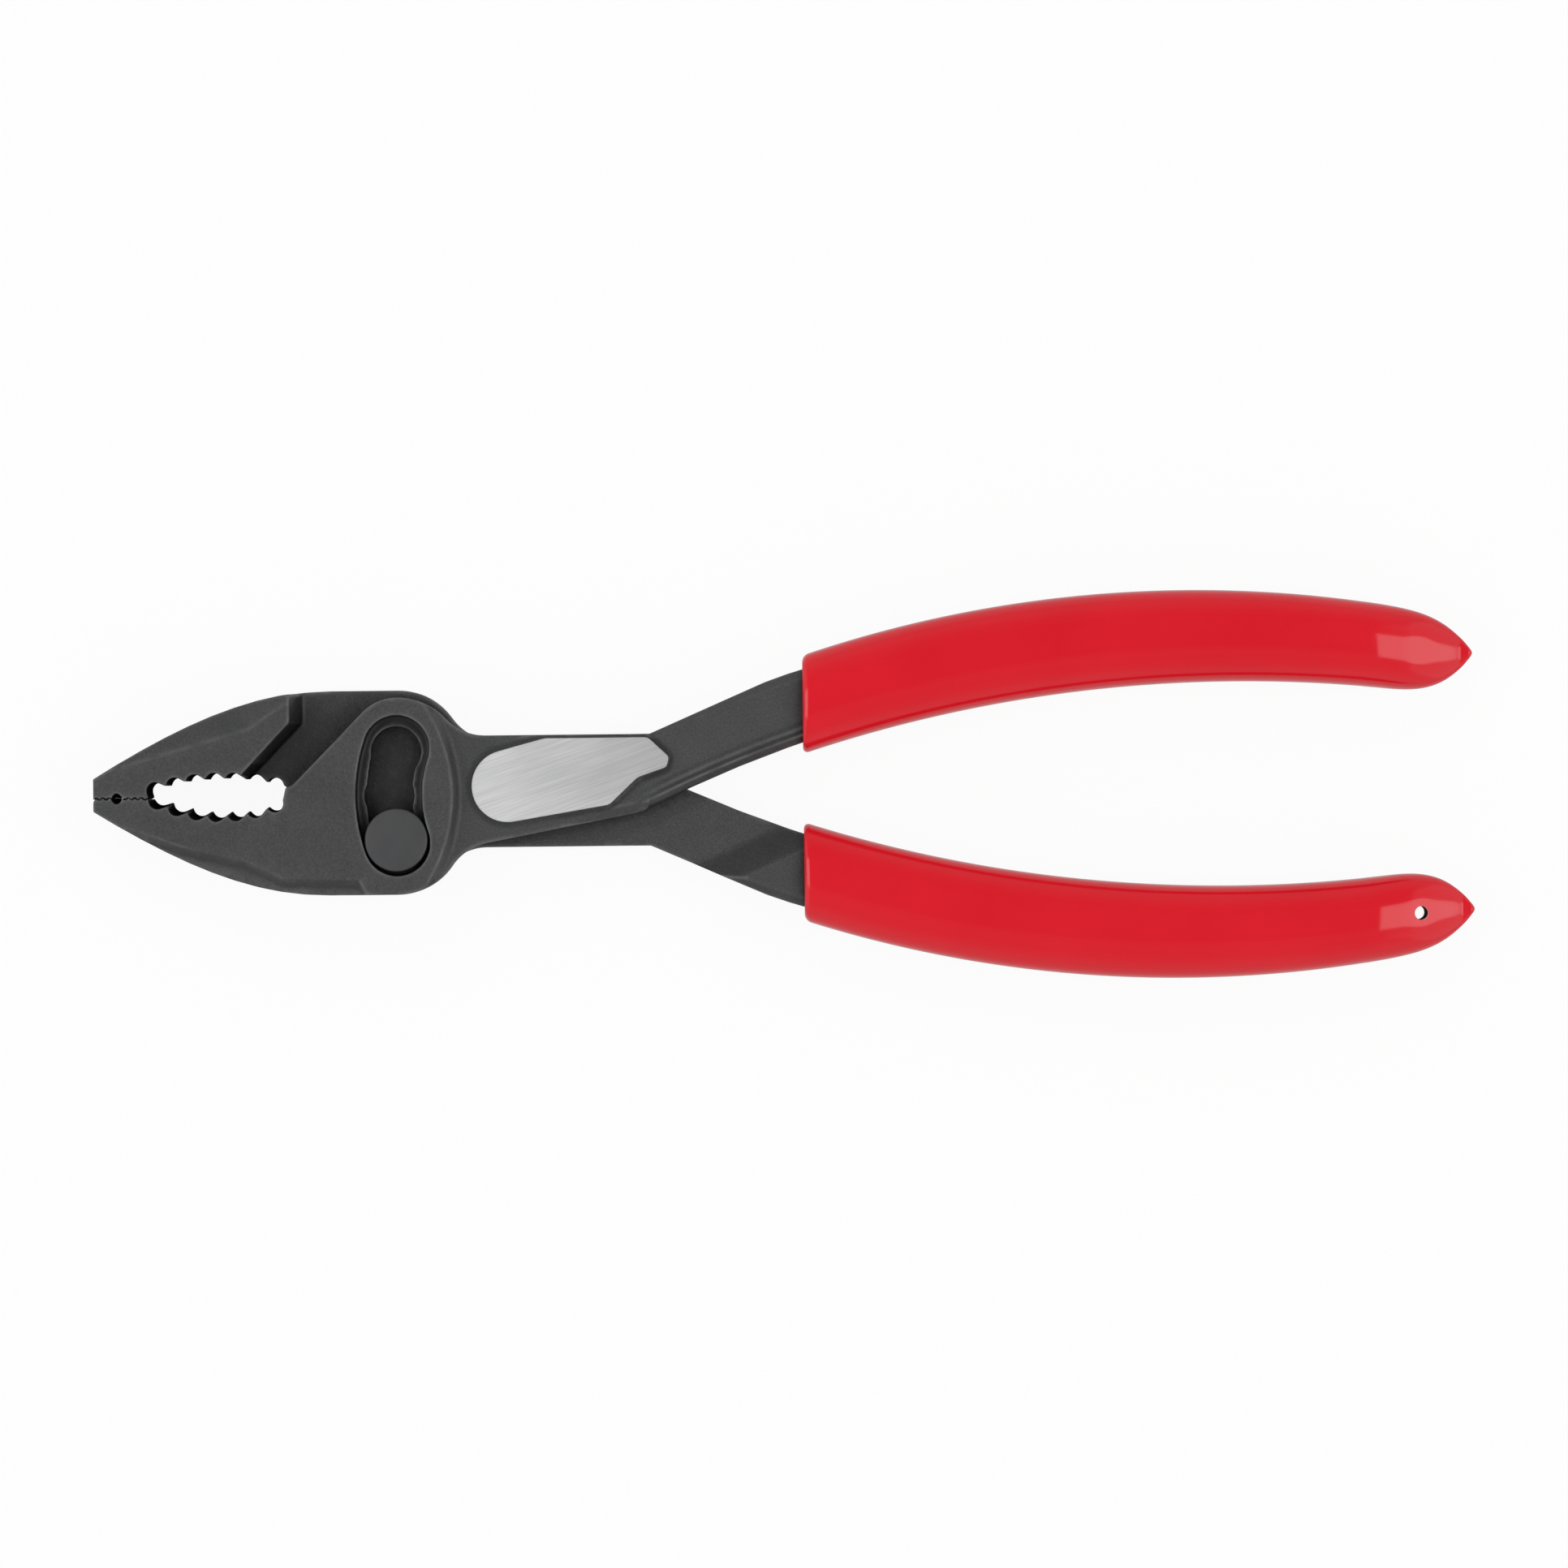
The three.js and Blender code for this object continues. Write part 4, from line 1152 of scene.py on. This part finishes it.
def lower_dip(material):
    piece = skinned("lower_dip", [turned_over(ring) for ring in dented(grip_rings())])
    cutter = tether_cutter()
    hole = piece.modifiers.new("hole", "BOOLEAN")
    hole.object = cutter
    hole.operation = "DIFFERENCE"
    applied(piece)
    bpy.data.objects.remove(cutter)
    return finished(piece, material, "rear_half", "red_grip", "lower_grip", crease=GRIP_SHARP)


# Camera, floor and light


def camera():
    data = bpy.data.cameras.new("camera")
    data.sensor_width = SENSOR
    data.lens = SENSOR * CAMERA_RISE / (PHOTO_SIZE * PIXEL)
    eye = linked("camera", data)
    eye.location = (CAMERA_OFF[0] * MM, CAMERA_OFF[1] * MM, (MID_Z + CAMERA_RISE) * MM)
    eye.rotation_euler = (0.0, 0.0, CAMERA_ROLL)
    bpy.context.scene.camera = eye


def floor():
    """A pale floor that reads white to the camera and pale in reflections, and keeps a faint shadow."""
    mesh = bpy.data.meshes.new("floor")
    z = -FLOOR_DROP * MM
    corners = [(-FLOOR_HALF, -FLOOR_HALF, z), (FLOOR_HALF, -FLOOR_HALF, z),
               (FLOOR_HALF, FLOOR_HALF, z), (-FLOOR_HALF, FLOOR_HALF, z)]
    mesh.from_pydata(corners, [], [(0, 1, 2, 3)])
    look = Look("floor")
    path = look.add("ShaderNodeLightPath").outputs
    mirrored = look.added(path["Is Glossy Ray"], path["Is Transmission Ray"])
    seen = look.added(path["Is Camera Ray"], look.between(mirrored, 0.0, FLOOR_MIRRORED))
    look.feed("Base Color", look.shades(path["Is Camera Ray"], FLOOR_BOUNCED, FLOOR_COLOUR))
    look.set(Roughness=FLOOR_ROUGHNESS, Specular_IOR_Level=0.0)
    glow = look.add("ShaderNodeEmission")
    mix = look.add("ShaderNodeMixShader")
    look.link(look.between(seen, 0.0, FLOOR_GLOW), mix.inputs["Fac"])
    look.link(look.shader.outputs["BSDF"], mix.inputs[1])
    look.link(glow.outputs["Emission"], mix.inputs[2])
    look.link(mix.outputs["Shader"], look.tree.nodes["Material Output"].inputs["Surface"])
    mesh.materials.append(look.material)
    linked("floor", mesh)


class Sky:
    """The studio round the tool as brightness by direction."""

    def __init__(self):
        world = bpy.data.worlds.new("studio")
        world.use_nodes = True
        bpy.context.scene.world = world
        self.tree = world.node_tree
        self.background = self.tree.nodes["Background"]
        self.background.inputs["Color"].default_value = (1.0, 1.0, 1.0, 1.0)
        split = self.add("ShaderNodeSeparateXYZ")
        self.tree.links.new(self.add("ShaderNodeTexCoord").outputs["Generated"], split.inputs[0])
        self.x, self.y, self.z = split.outputs

    def add(self, kind):
        return self.tree.nodes.new(kind)

    def math(self, operation, *values):
        node = self.add("ShaderNodeMath")
        node.operation = operation
        for socket, value in zip(node.inputs, values):
            if isinstance(value, (int, float)):
                socket.default_value = value
            else:
                self.tree.links.new(value, socket)
        return node.outputs[0]

    def step(self, value, start, end):
        node = self.add("ShaderNodeMapRange")
        node.interpolation_type = "SMOOTHSTEP"
        node.inputs["From Min"].default_value = start
        node.inputs["From Max"].default_value = end
        self.tree.links.new(value, node.inputs["Value"])
        return node.outputs["Result"]

    def fade(self, value, start, end):
        return self.math("SUBTRACT", 1.0, self.step(value, start, end))


def sky():
    """Dim above and brighter low down, with a wide panel and a bright strip off each end of the tool.

    The side towards the lower handle is a little brighter than the other.
    """
    s = Sky()
    up = s.math("MAXIMUM", s.z, SKY_LEAST_RISE)
    along = s.math("ABSOLUTE", s.x)
    across = s.math("ABSOLUTE", s.y)
    tilt_x = s.math("DIVIDE", along, up)
    tilt_y = s.math("DIVIDE", across, up)
    low = s.math("MULTIPLY", s.fade(s.z, *SKY_FALL), SKY_LOW - SKY_HIGH)
    in_line = s.step(s.math("SUBTRACT", along, s.math("MULTIPLY", across, PANEL_FAN)), 0.0, PANEL_EDGE)
    panel = s.math("MULTIPLY", s.step(tilt_x, *PANEL_TILT), in_line)
    strip = s.math("MULTIPLY", s.step(tilt_x, *STRIP_NEAR), s.fade(tilt_x, *STRIP_FAR))
    strip = s.math("MULTIPLY", strip, s.fade(tilt_y, *STRIP_SIDE))
    below = s.step(s.math("DIVIDE", s.math("MULTIPLY", s.y, -1.0), up), *BELOW_TILT)
    light = s.math("ADD", low, SKY_HIGH)
    for share, strength in ((panel, SKY_PANEL), (strip, SKY_STRIP), (below, SKY_BELOW)):
        light = s.math("MULTIPLY_ADD", share, strength, light)
    camera_ray = s.add("ShaderNodeLightPath").outputs["Is Camera Ray"]
    seen = s.math("MULTIPLY_ADD", s.math("SUBTRACT", 1.0, light), camera_ray, light)
    s.tree.links.new(seen, s.background.inputs["Strength"])


def fill(name, azimuth, elevation, strength):
    """A broad soft lamp that doesn't show in reflections."""
    data = bpy.data.lights.new(name, "SUN")
    data.energy = strength
    data.angle = math.radians(FILL_SPREAD)
    lamp = linked(name, data)
    lamp.rotation_euler = (0.0, math.radians(90 - elevation), math.radians(azimuth))
    lamp.visible_glossy = False


def build():
    steel = black_steel()
    turned = bolt_steel()
    red = red_grip()
    front = forging("front_forging", "front_half", steel, False)
    rear = forging("rear_forging", "rear_half", steel, True)
    flat = ground_flat(ground_steel())
    pieces = [front, rear, flat, bolt(turned), washer(turned), nut(turned), upper_dip(red), lower_dip(red)]
    tree = surroundings(pieces)
    shelter_mask(front, tree, False)
    shelter_mask(rear, tree, True)
    camera()
    floor()
    sky()
    fill("upper_fill", *UPPER_FILL)
    fill("lower_fill", *LOWER_FILL)
    bpy.context.scene.view_settings.view_transform = "Standard"


build()
